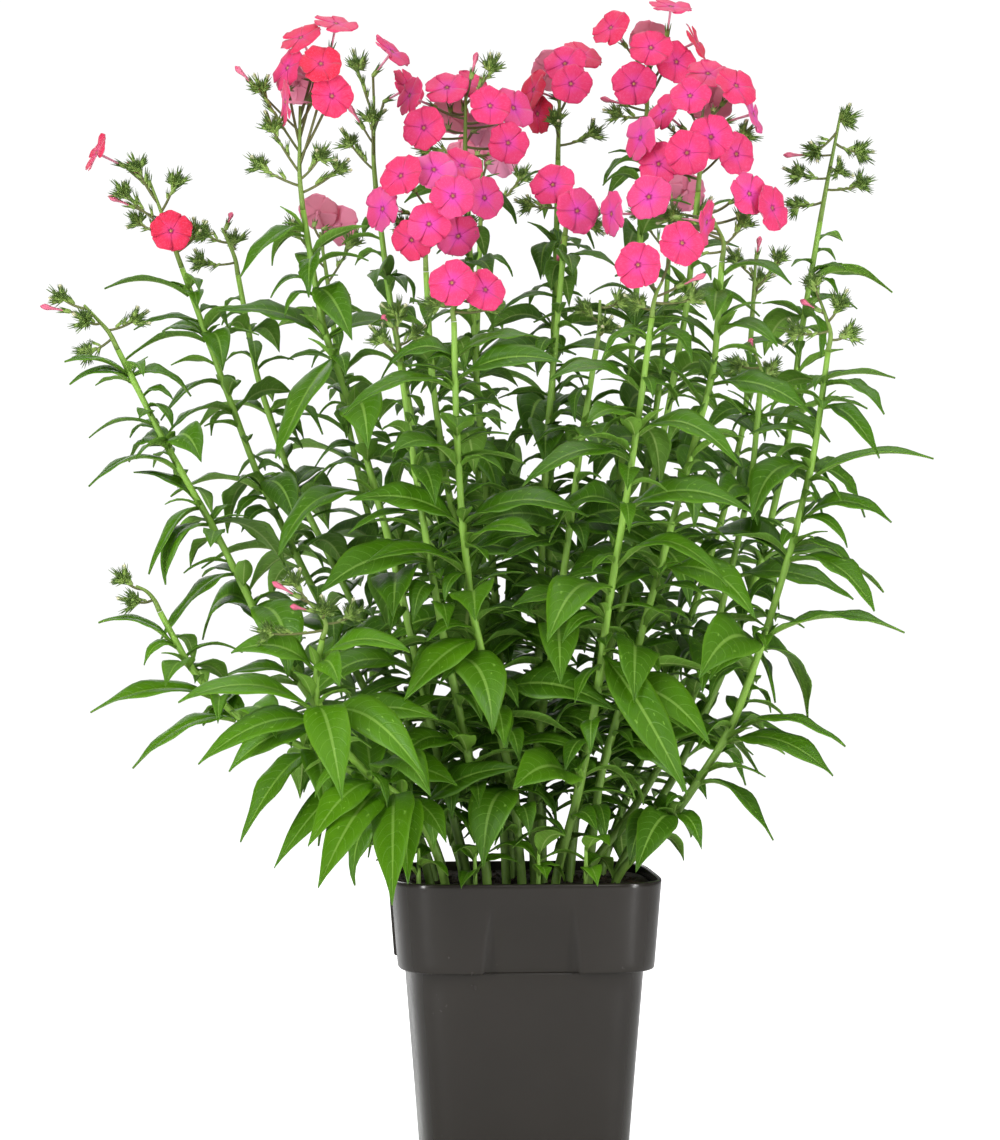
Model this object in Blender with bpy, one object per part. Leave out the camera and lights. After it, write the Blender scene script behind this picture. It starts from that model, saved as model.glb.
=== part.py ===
"""Garden phlox growing in a rounded-square plastic pot. Metres, +Z up, the front faces -Y."""

import math
import random

import bmesh
import bpy
from mathutils import Matrix, Vector
from mathutils.bvhtree import BVHTree

SEED = 11
GAP = 0.0003
CLEARANCE = 0.0005

# Pot: half widths of the rounded square at each height
POT_HEIGHT = 0.205
COLLAR_BOTTOM = 0.148
BASE_HALF = 0.0640
BODY_TOP_HALF = 0.0755
COLLAR_LOW_HALF = 0.0822
RIM_HALF = 0.0865
WALL = 0.0024
FLOOR = 0.0045
SQUARENESS = 5.0
PANEL_HALF = 0.029
PANEL_CREASE = 0.0018
PANEL_TOP = POT_HEIGHT - 0.013
POT_TURN = math.radians(4)

# Soil
SOIL_TOP = 0.1985
HOLE_DEPTH = 0.018
HOLE_PLAY = 0.0008

# Front view used to lay the plant out: a point is given by its place in a picture 1000 wide,
# seen from EYE, and by its depth y
EYE = Vector((-0.0143, -2.2, 0.4013))
SCALE = 0.00065

STEM_BASE_R = 0.0031
STEM_TOP_R = 0.0019
STEM_SIDES = 4
PAIR_SPACING = 1.5

# Each stem: root x and y in mm, then (across, down, y in mm) along its route,
# height of the first leaves in mm, spacing of the pairs in mm, length of the longest leaf in mm
STEMS = [
    ("front_centre", (0, -46), [(522, 828, -47), (506, 758, -54), (484, 662, -66), (466, 576, -78),
     (459, 460, -90), (455, 400, -94), (454, 322, -96)], 262, 41, 88),
    ("front_right", (20, -44), [(562, 836, -46), (584, 774, -54), (602, 662, -70), (611, 585, -82),
     (633, 464, -98), (640, 406, -104), (652, 318, -110)], 262, 42, 92),
    ("right", (58, -12), [(656, 834, -14), (701, 782, -22), (750, 689, -34), (776, 585, -42),
     (799, 525, -46), (823, 406, -50), (828, 352, -52)], 236, 44, 94),
    ("far_right", (60, 22), [(662, 800, 32), (716, 690, 46), (762, 560, 56), (792, 420, 62),
     (806, 280, 64), (820, 222, 64)], 290, 42, 86),
    ("inner_right", (40, 14), [(640, 800, 16), (693, 702, 14), (725, 595, 8), (752, 478, 0),
     (764, 425, -4), (760, 390, -6)], 285, 44, 84),
    ("leftmost", (-56, 4), [(402, 790, 2), (300, 690, -6), (231, 561, -16), (202, 505, -20),
     (164, 441, -22), (148, 392, -22), (118, 350, -22)], 280, 42, 86),
    ("second_left", (-50, 28), [(420, 800, 34), (340, 640, 48), (268, 500, 52), (230, 398, 52),
     (201, 326, 50), (182, 268, 48)], 300, 42, 84),
    ("third_left", (-38, 46), [(440, 800, 60), (372, 640, 92), (300, 500, 112), (262, 400, 118),
     (249, 311, 118), (238, 275, 118)], 300, 42, 82),
    ("fourth_left", (-34, -22), [(448, 800, -26), (412, 640, -34), (374, 480, -40), (337, 368, -42),
     (313, 292, -42), (303, 210, -42)], 275, 42, 88),
    ("fifth_left", (-22, 30), [(470, 800, 38), (442, 600, 56), (412, 420, 62), (388, 290, 64),
     (376, 190, 64)], 300, 43, 80),
    ("centre_left", (-10, -18), [(503, 800, -20), (478, 640, -24), (446, 480, -30), (430, 360, -36),
     (426, 272, -40)], 290, 43, 84),
    ("centre_back", (-6, 24), [(508, 800, 26), (496, 600, 26), (478, 400, 22), (470, 260, 18),
     (466, 168, 16)], 310, 43, 80),
    ("centre_mid", (14, -14), [(537, 800, -13), (540, 600, -8), (548, 420, -2), (560, 300, 2),
     (565, 236, 4)], 300, 43, 82),
    ("centre_far", (14, 38), [(540, 800, 44), (548, 600, 62), (552, 400, 76), (556, 260, 82),
     (558, 160, 84)], 320, 43, 80),
    ("right_far", (32, 38), [(575, 800, 46), (606, 600, 64), (628, 400, 76), (640, 240, 78),
     (646, 128, 78)], 320, 43, 80),
    ("right_mid", (30, -2), [(572, 800, 0), (618, 620, 4), (660, 450, 8), (688, 300, 8),
     (698, 192, 6)], 300, 43, 84),
    ("right_front", (42, -30), [(594, 800, -34), (640, 640, -46), (684, 480, -56), (716, 360, -60),
     (722, 262, -62)], 285, 43, 86),
    ("centre_bud", (8, -30), [(530, 800, -33), (560, 600, -42), (580, 450, -48), (596, 350, -50)],
     300, 44, 78),
    ("left_bud", (-22, -46), [(478, 800, -52), (440, 620, -68), (412, 450, -78), (400, 362, -80)],
     285, 44, 82),
    ("low_left", (-58, -26), [(396, 800, -34), (300, 745, -60), (224, 712, -74), (185, 660, -78),
     (160, 612, -78)], 262, 36, 74),
    ("low_front", (-48, -46), [(420, 815, -58), (360, 768, -96), (316, 710, -122), (317, 662, -128),
     (322, 640, -130)], 246, 32, 92),
    ("back_left", (-36, 62), [(450, 800, 84), (392, 600, 136), (350, 440, 162), (330, 300, 172)],
     300, 44, 84),
    ("back_centre", (-4, 64), [(505, 800, 88), (486, 600, 144), (476, 420, 178), (480, 240, 196)],
     300, 44, 86),
    ("back_right", (30, 62), [(575, 800, 86), (620, 600, 138), (656, 420, 166), (668, 270, 178)],
     300, 44, 84),
    ("back_far_right", (52, 46), [(626, 800, 62), (690, 620, 104), (740, 450, 128), (752, 320, 136)],
     300, 44, 82),
]

# Heads: the stem, the top of the head's axis, tufts of buds (across, down, y offset, buds),
# open flowers (across, down, y offset, turn to the right, tilt up), single pink buds (across, down)
HEADS = {
    "front_centre": ((468, 290), [(440, 306, 0, 4), (486, 310, 8, 4)],
                     [(452, 283, -14, -10, 20), (485, 290, -8, 25, 15)], []),
    "front_right": ((662, 282), [(690, 300, 0, 4), (640, 306, 10, 4)],
                    [(638, 265, -14, -10, 10), (682, 243, -10, 12, 10)], [(706, 274)]),
    "right": ((820, 300), [(815, 287, 0, 5), (838, 308, -6, 5), (800, 334, -4, 4), (846, 336, 6, 4)],
              [], [(800, 300)]),
    "far_right": ((841, 112), [(842, 120, 0, 5), (818, 150, -6, 5), (856, 152, 8, 5),
                  (802, 176, 4, 5), (858, 186, -6, 5), (838, 172, -14, 4), (800, 206, 8, 4)],
                  [], [(783, 155)]),
    "inner_right": ((754, 352), [(742, 366, 0, 4), (770, 372, 6, 4)], [], [(750, 338)]),
    "leftmost": ((84, 305), [(64, 300, 0, 5), (88, 322, -8, 5), (132, 322, 6, 5), (90, 352, 8, 4)],
                 [], [(40, 306)]),
    "second_left": ((150, 182), [(138, 171, 0, 5), (174, 186, 6, 5), (126, 196, -8, 5),
                    (140, 224, 8, 4), (196, 236, -8, 4)],
                    [(97, 153, -4, -70, 25), (171, 231, -18, 5, 5)], [(108, 196), (127, 162)]),
    "third_left": ((222, 228), [(208, 236, 0, 5), (234, 244, 8, 4), (204, 264, -8, 4)],
                   [], [(232, 212)]),
    "fourth_left": ((300, 106), [(262, 92, 0, 5), (274, 132, -6, 5), (262, 168, 6, 4),
                    (318, 160, -8, 5), (336, 172, 8, 4)],
                    [(321, 64, -12, 0, 25), (332, 96, -16, 10, 5), (301, 38, 4, -30, 45),
                     (336, 24, 10, 20, 60), (288, 68, 0, -50, 20), (286, 102, -6, -70, 0),
                     (298, 84, 20, 170, 20)], [(235, 66)]),
    "fifth_left": ((374, 96), [(358, 70, 8, 5), (372, 122, -6, 5), (352, 146, 6, 4)],
                   [(392, 52, 0, 60, 40), (408, 88, 14, 60, 20)], [(348, 104)]),
    "centre_left": ((434, 196), [(404, 228, 10, 4), (466, 228, 8, 4)],
                    [(401, 176, -6, -25, 20), (434, 170, -10, 0, 30), (462, 166, 4, 20, 35),
                     (453, 196, -20, 5, 15), (484, 198, -4, 35, 10), (383, 209, 4, -45, 5),
                     (429, 224, -16, -5, -5), (412, 240, 4, -30, -25), (458, 236, 2, 20, -25)], []),
    "centre_back": ((466, 96), [(490, 72, 8, 5), (430, 152, 4, 4), (500, 152, 6, 4)],
                    [(410, 96, 4, -60, 20), (424, 128, -14, -15, 10), (447, 88, 0, -10, 35),
                     (467, 84, 14, 10, 50), (490, 106, -12, 10, 20), (513, 108, -2, 35, 20),
                     (508, 143, -12, 15, 0), (450, 116, 26, 175, 30), (486, 128, 26, 150, 10)],
                    [(477, 52)]),
    "centre_mid": ((566, 196), [(532, 206, 6, 4), (590, 226, 6, 4)],
                   [(553, 185, -8, -15, 25), (577, 211, -12, 20, 5)], [(558, 262)]),
    "centre_far": ((560, 84), [(556, 124, -8, 5), (590, 136, 6, 4)],
                   [(583, 55, 4, 30, 40), (565, 64, -8, -15, 25), (571, 84, -14, 5, 10),
                    (534, 90, 2, -60, 10), (538, 114, 0, -50, 0), (552, 70, 24, 180, 25)], []),
    "right_far": ((648, 62), [(620, 116, -6, 4), (668, 28, 8, 5)],
                  [(611, 28, 2, -35, 30), (651, 48, -8, 0, 25), (634, 84, -12, -10, 5),
                   (671, 7, 8, 12, 60), (696, 42, 9, 75, 20), (676, 62, -4, 25, 15),
                   (650, 40, 28, 170, 30)], [(600, 98)]),
    "right_mid": ((702, 116), [(660, 120, 10, 4), (742, 136, 10, 4)],
                  [(736, 86, -2, 25, 30), (690, 96, -6, -5, 25), (708, 74, 6, 5, 45),
                   (711, 137, -14, 5, 10), (687, 153, -18, -10, 0), (736, 154, -8, 30, 0),
                   (659, 164, -8, -20, -5), (641, 138, -4, -60, 10), (753, 114, 6, 75, 10),
                   (664, 112, 10, -50, 30), (712, 104, 28, 175, 20)], []),
    "right_front": ((708, 210), [(742, 226, 6, 5), (676, 218, 6, 4), (690, 252, 10, 4)],
                    [(649, 197, -6, -20, 10), (749, 194, -8, 30, 10), (772, 208, 2, 45, 5),
                     (706, 222, -4, 70, -10), (612, 214, 4, -60, 0)], []),
    "centre_bud": ((600, 300), [(588, 312, 0, 4), (616, 304, 4, 4), (604, 330, -6, 4)], [], []),
    "left_bud": ((394, 326), [(398, 318, 0, 4), (412, 338, 4, 4), (384, 342, -4, 4)],
                 [], [(382, 315)]),
    "low_left": ((136, 586), [(126, 582, 0, 5), (138, 602, -4, 4)], [], []),
    "low_front": ((306, 600), [(297, 586, 0, 5), (325, 613, -6, 5), (272, 634, -4, 4),
                  (348, 618, 4, 4)], [], [(272, 582), (290, 606)]),
    "back_left": ((320, 232), [(296, 232, 0, 4), (350, 246, 0, 4)],
                  [(318, 212, 18, 170, 30), (340, 226, 20, 150, 10)], []),
    "back_centre": ((482, 160), [(450, 176, 0, 4), (520, 180, 0, 4)],
                    [(478, 140, 14, 175, 40), (500, 158, 18, 150, 20), (460, 160, 18, 200, 20)], []),
    "back_right": ((672, 200), [(640, 216, 0, 4), (700, 214, 0, 4)],
                   [(664, 184, 16, 190, 35), (686, 192, 18, 160, 20), (652, 206, 14, 210, 10)], []),
    "back_far_right": ((756, 256), [(738, 262, 0, 4), (778, 262, 0, 4), (758, 284, 8, 4)],
                       [], [(760, 236)]),
}

# Leaves that show best in the front view: the stem, then for each leaf where it leaves the stem
# (across, down), its tip (across, down, y in mm), its half width and its arch in mm
SHOWN_LEAVES = {
    "front_right": [((604, 652), (688, 796, -150), 13, 4), ((641, 398), (549, 380, -125), 10, 10),
                    ((634, 466), (522, 486, -130), 12, 12), ((637, 440), (741, 466, -128), 11, 16),
                    ((613, 566), (728, 586, -125), 10, 22), ((607, 618), (512, 606, -120), 12, 10)],
    "front_centre": [((456, 388), (562, 362, -118), 10, 6), ((455, 398), (343, 414, -118), 11, 12),
                     ((460, 470), (392, 452, -140), 12, 10), ((464, 545), (538, 536, -130), 10, 8),
                     ((466, 572), (366, 562, -120), 11, 10), ((478, 640), (404, 700, -120), 12, 6)],
    "low_front": [((316, 706), (178, 702, -160), 14, 14), ((317, 716), (198, 764, -145), 12, 12),
                  ((318, 700), (342, 800, -178), 14, 12), ((322, 706), (426, 780, -158), 13, 16),
                  ((317, 664), (221, 650, -140), 11, 8), ((320, 654), (410, 652, -145), 11, 8),
                  ((366, 772), (308, 846, -140), 12, 8), ((374, 780), (318, 888, -165), 14, 10),
                  ((380, 786), (392, 906, -188), 15, 14), ((388, 792), (408, 884, -140), 12, 12)],
    "low_left": [((300, 746), (240, 842, -90), 11, 8), ((352, 774), (274, 868, -80), 10, 8),
                 ((176, 640), (98, 622, -84), 9, 6), ((190, 692), (90, 712, -90), 10, 8),
                 ((226, 714), (132, 768, -90), 11, 10)],
    "right": [((704, 780), (774, 840, -60), 12, 12), ((674, 815), (636, 872, -75), 12, 10),
              ((764, 636), (905, 632, -70), 14, 10), ((736, 730), (846, 746, -60), 12, 12),
              ((792, 546), (863, 578, -60), 10, 8), ((801, 522), (892, 522, -62), 11, 12),
              ((812, 482), (934, 458, -50), 10, 8), ((824, 412), (880, 458, -75), 9, 8)],
    "far_right": [((793, 416), (868, 408, 40), 10, 8), ((808, 272), (893, 292, 50), 9, 8),
                  ((786, 450), (840, 500, 30), 10, 8)],
    "right_front": [((719, 340), (778, 346, -90), 11, 8), ((722, 284), (792, 284, -80), 10, 8),
                    ((700, 410), (640, 360, -80), 9, 8)],
    "leftmost": [((186, 470), (88, 486, -40), 12, 12), ((140, 384), (69, 384, -30), 8, 6),
                 ((204, 508), (148, 574, -50), 10, 8), ((236, 572), (160, 640, -40), 11, 8)],
    "second_left": [((264, 492), (170, 496, 40), 12, 10), ((190, 290), (104, 288, 40), 9, 6),
                    ((206, 336), (122, 362, 40), 9, 8), ((222, 380), (160, 420, 30), 10, 8)],
    "fourth_left": [((334, 362), (275, 458, -95), 16, 4), ((304, 236), (240, 276, -70), 11, 8),
                    ((314, 296), (352, 340, -80), 11, 6)],
}

# Young shoots at the soil: root x and y in mm, height in mm, turn in degrees
SHOOTS = [
    ("front_left", (-30, -62), 24, 250),
    ("front_middle", (10, -64), 26, 285),
    ("front_right", (40, -60), 28, 300),
    ("left", (-66, -50), 26, 200),
    ("back", (10, 58), 30, 80),
]

placed = []


def view_point(across, down, y):
    """Point at depth y that the front view shows at this place."""
    scale = SCALE * (1 + y / 2.2)
    return Vector((EYE.x + (across - 500) * scale, y, EYE.z + (570 - down) * scale))


def spline(points, count):
    """Points at even lengths along a smooth curve through the given ones."""
    ends = [points[0] * 2 - points[1]] + list(points) + [points[-1] * 2 - points[-2]]
    fine = []
    for k in range(1, len(ends) - 2):
        p0, p1, p2, p3 = ends[k - 1:k + 3]
        for step in range(12):
            t = step / 12
            fine.append(0.5 * (2 * p1 + (p2 - p0) * t + (2 * p0 - 5 * p1 + 4 * p2 - p3) * t * t
                               + (3 * p1 - p0 - 3 * p2 + p3) * t ** 3))
    fine.append(points[-1].copy())
    run = [0.0]
    for a, b in zip(fine, fine[1:]):
        run.append(run[-1] + (b - a).length)
    out = []
    k = 0
    for i in range(count + 1):
        want = run[-1] * i / count
        while k < len(run) - 2 and run[k + 1] < want:
            k += 1
        part = (want - run[k]) / (run[k + 1] - run[k])
        out.append(fine[k].lerp(fine[k + 1], part))
    return out, run[-1]


def tube(path, radii, sides, turn=0.0, pointed=False):
    """Closed tube along a path. A pointed tube ends in a single corner."""
    verts = []
    faces = []
    normal = Vector((math.cos(turn), math.sin(turn), 0.13)).normalized()
    rings = len(path) - (1 if pointed else 0)
    for i in range(rings):
        ahead = path[min(i + 1, len(path) - 1)]
        behind = path[max(i - 1, 0)]
        along = (ahead - behind).normalized()
        normal = (normal - along * normal.dot(along)).normalized()
        across = along.cross(normal)
        for k in range(sides):
            a = 2 * math.pi * k / sides
            verts.append(path[i] + (normal * math.cos(a) + across * math.sin(a)) * radii[i])
    for i in range(rings - 1):
        for k in range(sides):
            a = i * sides + k
            b = i * sides + (k + 1) % sides
            faces.append((a, b, b + sides))
            faces.append((a, b + sides, a + sides))
    faces.append(tuple(range(sides))[::-1])
    last = (rings - 1) * sides
    if pointed:
        verts.append(path[-1].copy())
        for k in range(sides):
            faces.append((last + k, last + (k + 1) % sides, len(verts) - 1))
    else:
        faces.append(tuple(last + k for k in range(sides)))
    return verts, faces, []


def bezier(p0, p1, p2, s):
    """Point and direction on a three-point curve."""
    point = p0 * (1 - s) ** 2 + p1 * 2 * s * (1 - s) + p2 * s * s
    along = (p1 - p0) * (1 - s) + (p2 - p1) * s
    return point, along.normalized()


def leaf(curve, half_width, roll, stations, grow=0.0):
    """Blade along a curve: each section has two sharp edges and a rib below."""
    p0, p1, p2 = curve
    verts = []
    faces = []
    flat = Vector((p2.x - p0.x, p2.y - p0.y, 0)).normalized()
    right = flat.cross(Vector((0, 0, 1)))
    for number, (s, width) in enumerate(stations):
        point, along = bezier(p0, p1, p2, s)
        side = (right - along * right.dot(along)).normalized()
        up = side.cross(along)
        turned = Matrix.Rotation(roll * min(1.0, s * 3), 3, along)
        side = turned @ side
        up = turned @ up
        half = half_width * width + grow
        lift = (0.0006 if number else 0.0008) + grow
        verts.append(point - side * half + up * lift)
        verts.append(point + side * half + up * lift)
        verts.append(point - up * (0.0009 + grow))
    rings = len(stations)
    for i in range(rings - 1):
        l0, r0, b0 = range(i * 3, i * 3 + 3)
        l1, r1, b1 = range(i * 3 + 3, i * 3 + 6)
        faces += [(l0, r0, r1), (l0, r1, l1), (r0, b0, b1), (r0, b1, r1), (b0, l0, b1), (l0, l1, b1)]
    tip, along = bezier(p0, p1, p2, 1.0)
    verts.append(tip + along * grow)
    l0, r0, b0 = range(rings * 3 - 3, rings * 3)
    end = len(verts) - 1
    faces += [(l0, r0, end), (r0, b0, end), (b0, l0, end)]
    faces.append((0, 2, 1))
    free = list(range(6, len(faces) - 1))
    return verts, faces, free


LONG_LEAF = [(0.0, 0.07), (0.18, 0.74), (0.48, 1.0), (0.79, 0.5)]
SHORT_LEAF = [(0.0, 0.08), (0.3, 0.96), (0.68, 0.74)]


LOBE = ((-21, 1.0), (21, 1.0))


def flower(root, centre, facing, radius, turn, grow=0.0):
    """Flat face of five rounded lobes on a thin tube that swells at the calyx."""
    side = facing.cross(Vector((0, 0, 1)))
    if side.length < 0.1:
        side = facing.cross(Vector((0, 1, 0)))
    side.normalize()
    up = side.cross(facing)
    calyx = centre - facing * 0.021
    path = [root, calyx, centre - facing * 0.0014]
    verts, faces, free = tube(path, [0.0008 + grow, 0.0019 + grow, 0.0009 + grow], 3)
    faces.pop()
    neck = [6, 7, 8]
    outline = []
    for petal in range(5):
        for off, reach in LOBE:
            a = turn + math.radians(72 * petal + off)
            spot = centre + (side * math.cos(a) + up * math.sin(a)) * (radius * reach + grow)
            outline.append(len(verts))
            verts.append(spot + facing * 0.0002)
    verts.append(centre + facing * (0.0002 + grow))
    hub = len(verts) - 1
    first = len(faces)
    for k in range(5 * len(LOBE)):
        faces.append((outline[k], outline[(k + 1) % (5 * len(LOBE))], hub))
    angle = []
    for n in neck:
        d = verts[n] - centre
        angle.append(math.atan2(d.dot(up), d.dot(side)) % (2 * math.pi))
    order = sorted(range(3), key=lambda k: angle[k])
    near = []
    for k in range(5 * len(LOBE)):
        d = verts[outline[k]] - centre
        a = math.atan2(d.dot(up), d.dot(side))
        near.append(min(order, key=lambda j: abs((angle[j] - a + math.pi) % (2 * math.pi) - math.pi)))
    for k in range(5 * len(LOBE)):
        k2 = (k + 1) % (5 * len(LOBE))
        faces.append((outline[k2], outline[k], neck[near[k]]))
        if near[k] != near[k2]:
            faces.append((outline[k2], neck[near[k]], neck[near[k2]]))
    free = list(range(first, len(faces)))
    return verts, faces, free


def bud(root, tip, radius, grow=0.0):
    """Three-sided bud on a short stalk."""
    middle = root.lerp(tip, 0.62)
    small = 0.0009 + grow
    return tube([root, middle, tip + (tip - root).normalized() * grow], [small, radius + grow, 0], 3,
                pointed=True)


def tuft(root, centre, tips, grow=0.0):
    """Branch that ends in a knot of pointed buds."""
    along = (centre - root).normalized()
    side = along.cross(Vector((0.31, 0.17, 0.93))).normalized()
    up = side.cross(along)
    count = len(tips) - 1
    verts = []
    for k in range(3):
        a = 2 * math.pi * k / 3
        verts.append(root + (side * math.cos(a) + up * math.sin(a)) * (0.0010 + grow))
    for k in range(count):
        a = 2 * math.pi * k / count
        verts.append(centre + (side * math.cos(a) + up * math.sin(a)) * (0.0026 + grow))
    top = len(verts)
    verts.append(tips[0] + (tips[0] - centre).normalized() * grow)
    faces = [(0, 2, 1)]
    low = 0
    for k in range(count):
        reach = round((k + 1) * 3 / count)
        faces.append((low % 3, 3 + (k + 1) % count, 3 + k))
        while low < reach:
            faces.append((low % 3, (low + 1) % 3, 3 + (k + 1) % count))
            low += 1
    for k in range(count):
        a = 3 + k
        b = 3 + (k + 1) % count
        verts.append(tips[k + 1] + (tips[k + 1] - centre).normalized() * grow)
        end = len(verts) - 1
        faces += [(a, b, end), (b, top, end), (top, a, end)]
    free = list(range(1 + count + 3, len(faces)))
    return verts, faces, free


def tuft_tips(root, centre, count, spin, length):
    """Tips of a knot's buds: the first goes on along the branch, the others lean out round it."""
    along = ((centre - root).normalized() + Vector((0, 0, 0.35))).normalized()
    side = along.cross(Vector((0.31, 0.17, 0.93))).normalized()
    up = side.cross(along)
    tips = [centre + along * length]
    for k in range(count - 1):
        a = 2 * math.pi * (k + 0.5) / (count - 1)
        out = side * math.cos(a) + up * math.sin(a)
        tips.append(centre + (along * 0.62 + out * (0.74 + 0.12 * math.sin(5 * k + spin))) * length * 0.92)
    return tips


def tree_of(verts, faces):
    return BVHTree.FromPolygons([tuple(v) for v in verts], faces)


def box_of(verts):
    low = [min(v[k] for v in verts) for k in range(3)]
    high = [max(v[k] for v in verts) for k in range(3)]
    return low, high


def clashes(node, shape):
    """True if the shape runs into a piece already placed. Roots may meet within a node."""
    verts, faces, free = shape
    low, high = box_of(verts)
    whole = tree_of(verts, faces)
    part = tree_of(verts, [faces[f] for f in free]) if free else None
    for other, box, full, loose in placed:
        if any(low[k] > box[1][k] or high[k] < box[0][k] for k in range(3)):
            continue
        if other != node:
            if whole.overlap(full):
                return True
        elif part and part.overlap(full) or loose and whole.overlap(loose):
            return True
    return False


def keep(node, shape):
    """Remember a piece's shape so that later ones stay clear of it."""
    verts, faces, free = shape
    loose = tree_of(verts, [faces[f] for f in free]) if free else None
    placed.append((node, box_of(verts), tree_of(verts, faces), loose))


def side_point(half, u, squareness):
    """Point on one side of a rounded square, u from -1 to 1 along it, the side facing -Y."""
    a = u * math.pi / 4
    c = math.cos(a)
    s = math.sin(a)
    reach = half / (abs(c) ** squareness + abs(s) ** squareness) ** (1 / squareness)
    return reach * s, -reach * c


def panel_depth(z):
    """How far the middle of the collar falls back towards the body at a height."""
    if z >= PANEL_TOP or z < COLLAR_BOTTOM - 0.0005:
        return 0.0
    part = (PANEL_TOP - z) / (PANEL_TOP - COLLAR_BOTTOM)
    return part * (COLLAR_LOW_HALF - BODY_TOP_HALF)


def pot_ring(half, z, panel=0.0, inset=0.0):
    """Ring of the rounded-square section with the middle of each side set back by the panel."""
    flat = half - inset
    ring = []
    edge = PANEL_HALF / half * 1.22
    crease = (PANEL_HALF - PANEL_CREASE) / half * 1.22
    marks = [-1.0, -0.74, -edge, -crease, crease, edge, 0.74]
    for quarter in range(4):
        turn = Matrix.Rotation(quarter * math.pi / 2 + POT_TURN, 3, "Z")
        for u in marks:
            x, y = side_point(flat, u, SQUARENESS)
            if abs(u) <= crease + 1e-6:
                y += panel
            ring.append(turn @ Vector((x, y, z)))
    return ring


def loft(rings):
    """Skin over rings of equal count, with flat caps."""
    verts = [v for ring in rings for v in ring]
    count = len(rings[0])
    faces = []
    for i in range(len(rings) - 1):
        for k in range(count):
            a = i * count + k
            b = i * count + (k + 1) % count
            faces.append((a, b, b + count, a + count))
    faces.append(tuple(range(count))[::-1])
    last = (len(rings) - 1) * count
    faces.append(tuple(last + k for k in range(count)))
    return verts, faces, []


def mesh_object(name, shape, collection, material=None):
    verts, faces, free = shape
    mesh = bpy.data.meshes.new(name)
    mesh.from_pydata([tuple(v) for v in verts], [], faces)
    work = bmesh.new()
    work.from_mesh(mesh)
    bmesh.ops.recalc_face_normals(work, faces=work.faces)
    work.to_mesh(mesh)
    work.free()
    thing = bpy.data.objects.new(name, mesh)
    collection.objects.link(thing)
    if material:
        mesh.materials.append(material)
    return thing


def boolean(thing, shapes, operation, solver="MANIFOLD"):
    """Join shapes to a thing, or cut them from it, in one step, and remove them."""
    if not shapes:
        return True
    holder = bpy.data.collections.new(thing.name + "_pieces")
    bpy.context.scene.collection.children.link(holder)
    for number, shape in enumerate(shapes):
        piece = mesh_object(f"{thing.name}_piece_{number}", shape, holder)
        piece.hide_render = True
        piece.display_type = "WIRE"
    step = thing.modifiers.new("join", "BOOLEAN")
    step.operation = operation
    step.operand_type = "COLLECTION"
    step.collection = holder
    step.solver = solver
    with bpy.context.temp_override(object=thing, active_object=thing):
        bpy.ops.object.modifier_apply(modifier=step.name)
    for piece in list(holder.objects):
        bpy.data.objects.remove(piece)
    bpy.data.collections.remove(holder)
    merges = COARSER.get(thing.name, ()) + MERGES if operation == "UNION" else CUT_MERGES
    return tidy_faces(thing.data, merges)


def is_sound(work):
    """True if the skin is closed, is one body and has no folded or empty faces."""
    if any(len(e.link_faces) != 2 for e in work.edges):
        return False
    if any(2 * f.calc_area() < THINNEST * max(e.calc_length() for e in f.edges) for f in work.faces):
        return False
    check = work.copy()
    bmesh.ops.remove_doubles(check, verts=check.verts, dist=0.0000005)
    closed = all(len(e.link_faces) == 2 for e in check.edges)
    reached = set()
    waiting = [check.faces[:][0]]
    while waiting:
        face = waiting.pop()
        if face in reached:
            continue
        reached.add(face)
        waiting += [other for e in face.edges for other in e.link_faces]
    one = len(reached) == len(check.faces)
    check.free()
    return closed and one


MERGES = ((0.00004, 1.0), (0.00006, 0.5), (0.00003, 0.1), (0.00003, 0.0))
CUT_MERGES = ((0.00003, 0.0), (0.00008, 0.0), (0.00016, 0.0), (0.0003, 0.0))
THINNEST = 0.000012
COARSER = {"leafy_stem_centre_left": ((0.00015, 1.5), (0.0001, 1.2))}
STEM_TURNS = {"front_centre": 0.05, "inner_right": 0.05, "right_far": 0.05, "left": 0.7}


def tidy_faces(mesh, merges):
    """Merge the slivers that a join leaves in flat places; true if the skin stays whole."""
    for merge, angle in merges:
        work = bmesh.new()
        work.from_mesh(mesh)
        if merge:
            bmesh.ops.remove_doubles(work, verts=work.verts, dist=merge)
        if angle:
            bmesh.ops.dissolve_limit(work, angle_limit=math.radians(angle), verts=work.verts,
                                     edges=work.edges)
        bmesh.ops.triangulate(work, faces=work.faces)
        sound = is_sound(work)
        if sound:
            work.to_mesh(mesh)
        work.free()
        if sound:
            return True
    return False


def joined(name, core, shapes, collection, paint):
    """Core with the shapes fused to it, all at once or, where that fails, one at a time."""
    thing = mesh_object(name, core, collection, paint)
    if try_join(thing, shapes):
        return thing
    nudges = random.Random(name)
    for verts, faces, free in shapes:
        for attempt in range(90):
            reach = min(0.0006, 0.00002 * attempt)
            step = Vector([nudges.uniform(-1, 1) for k in range(3)]) * reach
            if try_join(thing, [([v + step for v in verts], faces, free)]):
                break
        else:
            raise ValueError("no whole join for " + name)
    return thing


def try_join(thing, shapes):
    """Fuse the shapes to the thing if the result is sound, or else leave it as it was."""
    before = thing.data
    thing.data = before.copy()
    if boolean(thing, shapes, "UNION"):
        bpy.data.meshes.remove(before)
        return True
    failed = thing.data
    thing.data = before
    bpy.data.meshes.remove(failed)
    return False


def material(name, colour, roughness, metallic=0.0):
    made = bpy.data.materials.new(name)
    made.use_nodes = True
    shader = made.node_tree.nodes["Principled BSDF"]
    shader.inputs["Base Color"].default_value = (*colour, 1.0)
    shader.inputs["Roughness"].default_value = roughness
    shader.inputs["Metallic"].default_value = metallic
    return made


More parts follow.
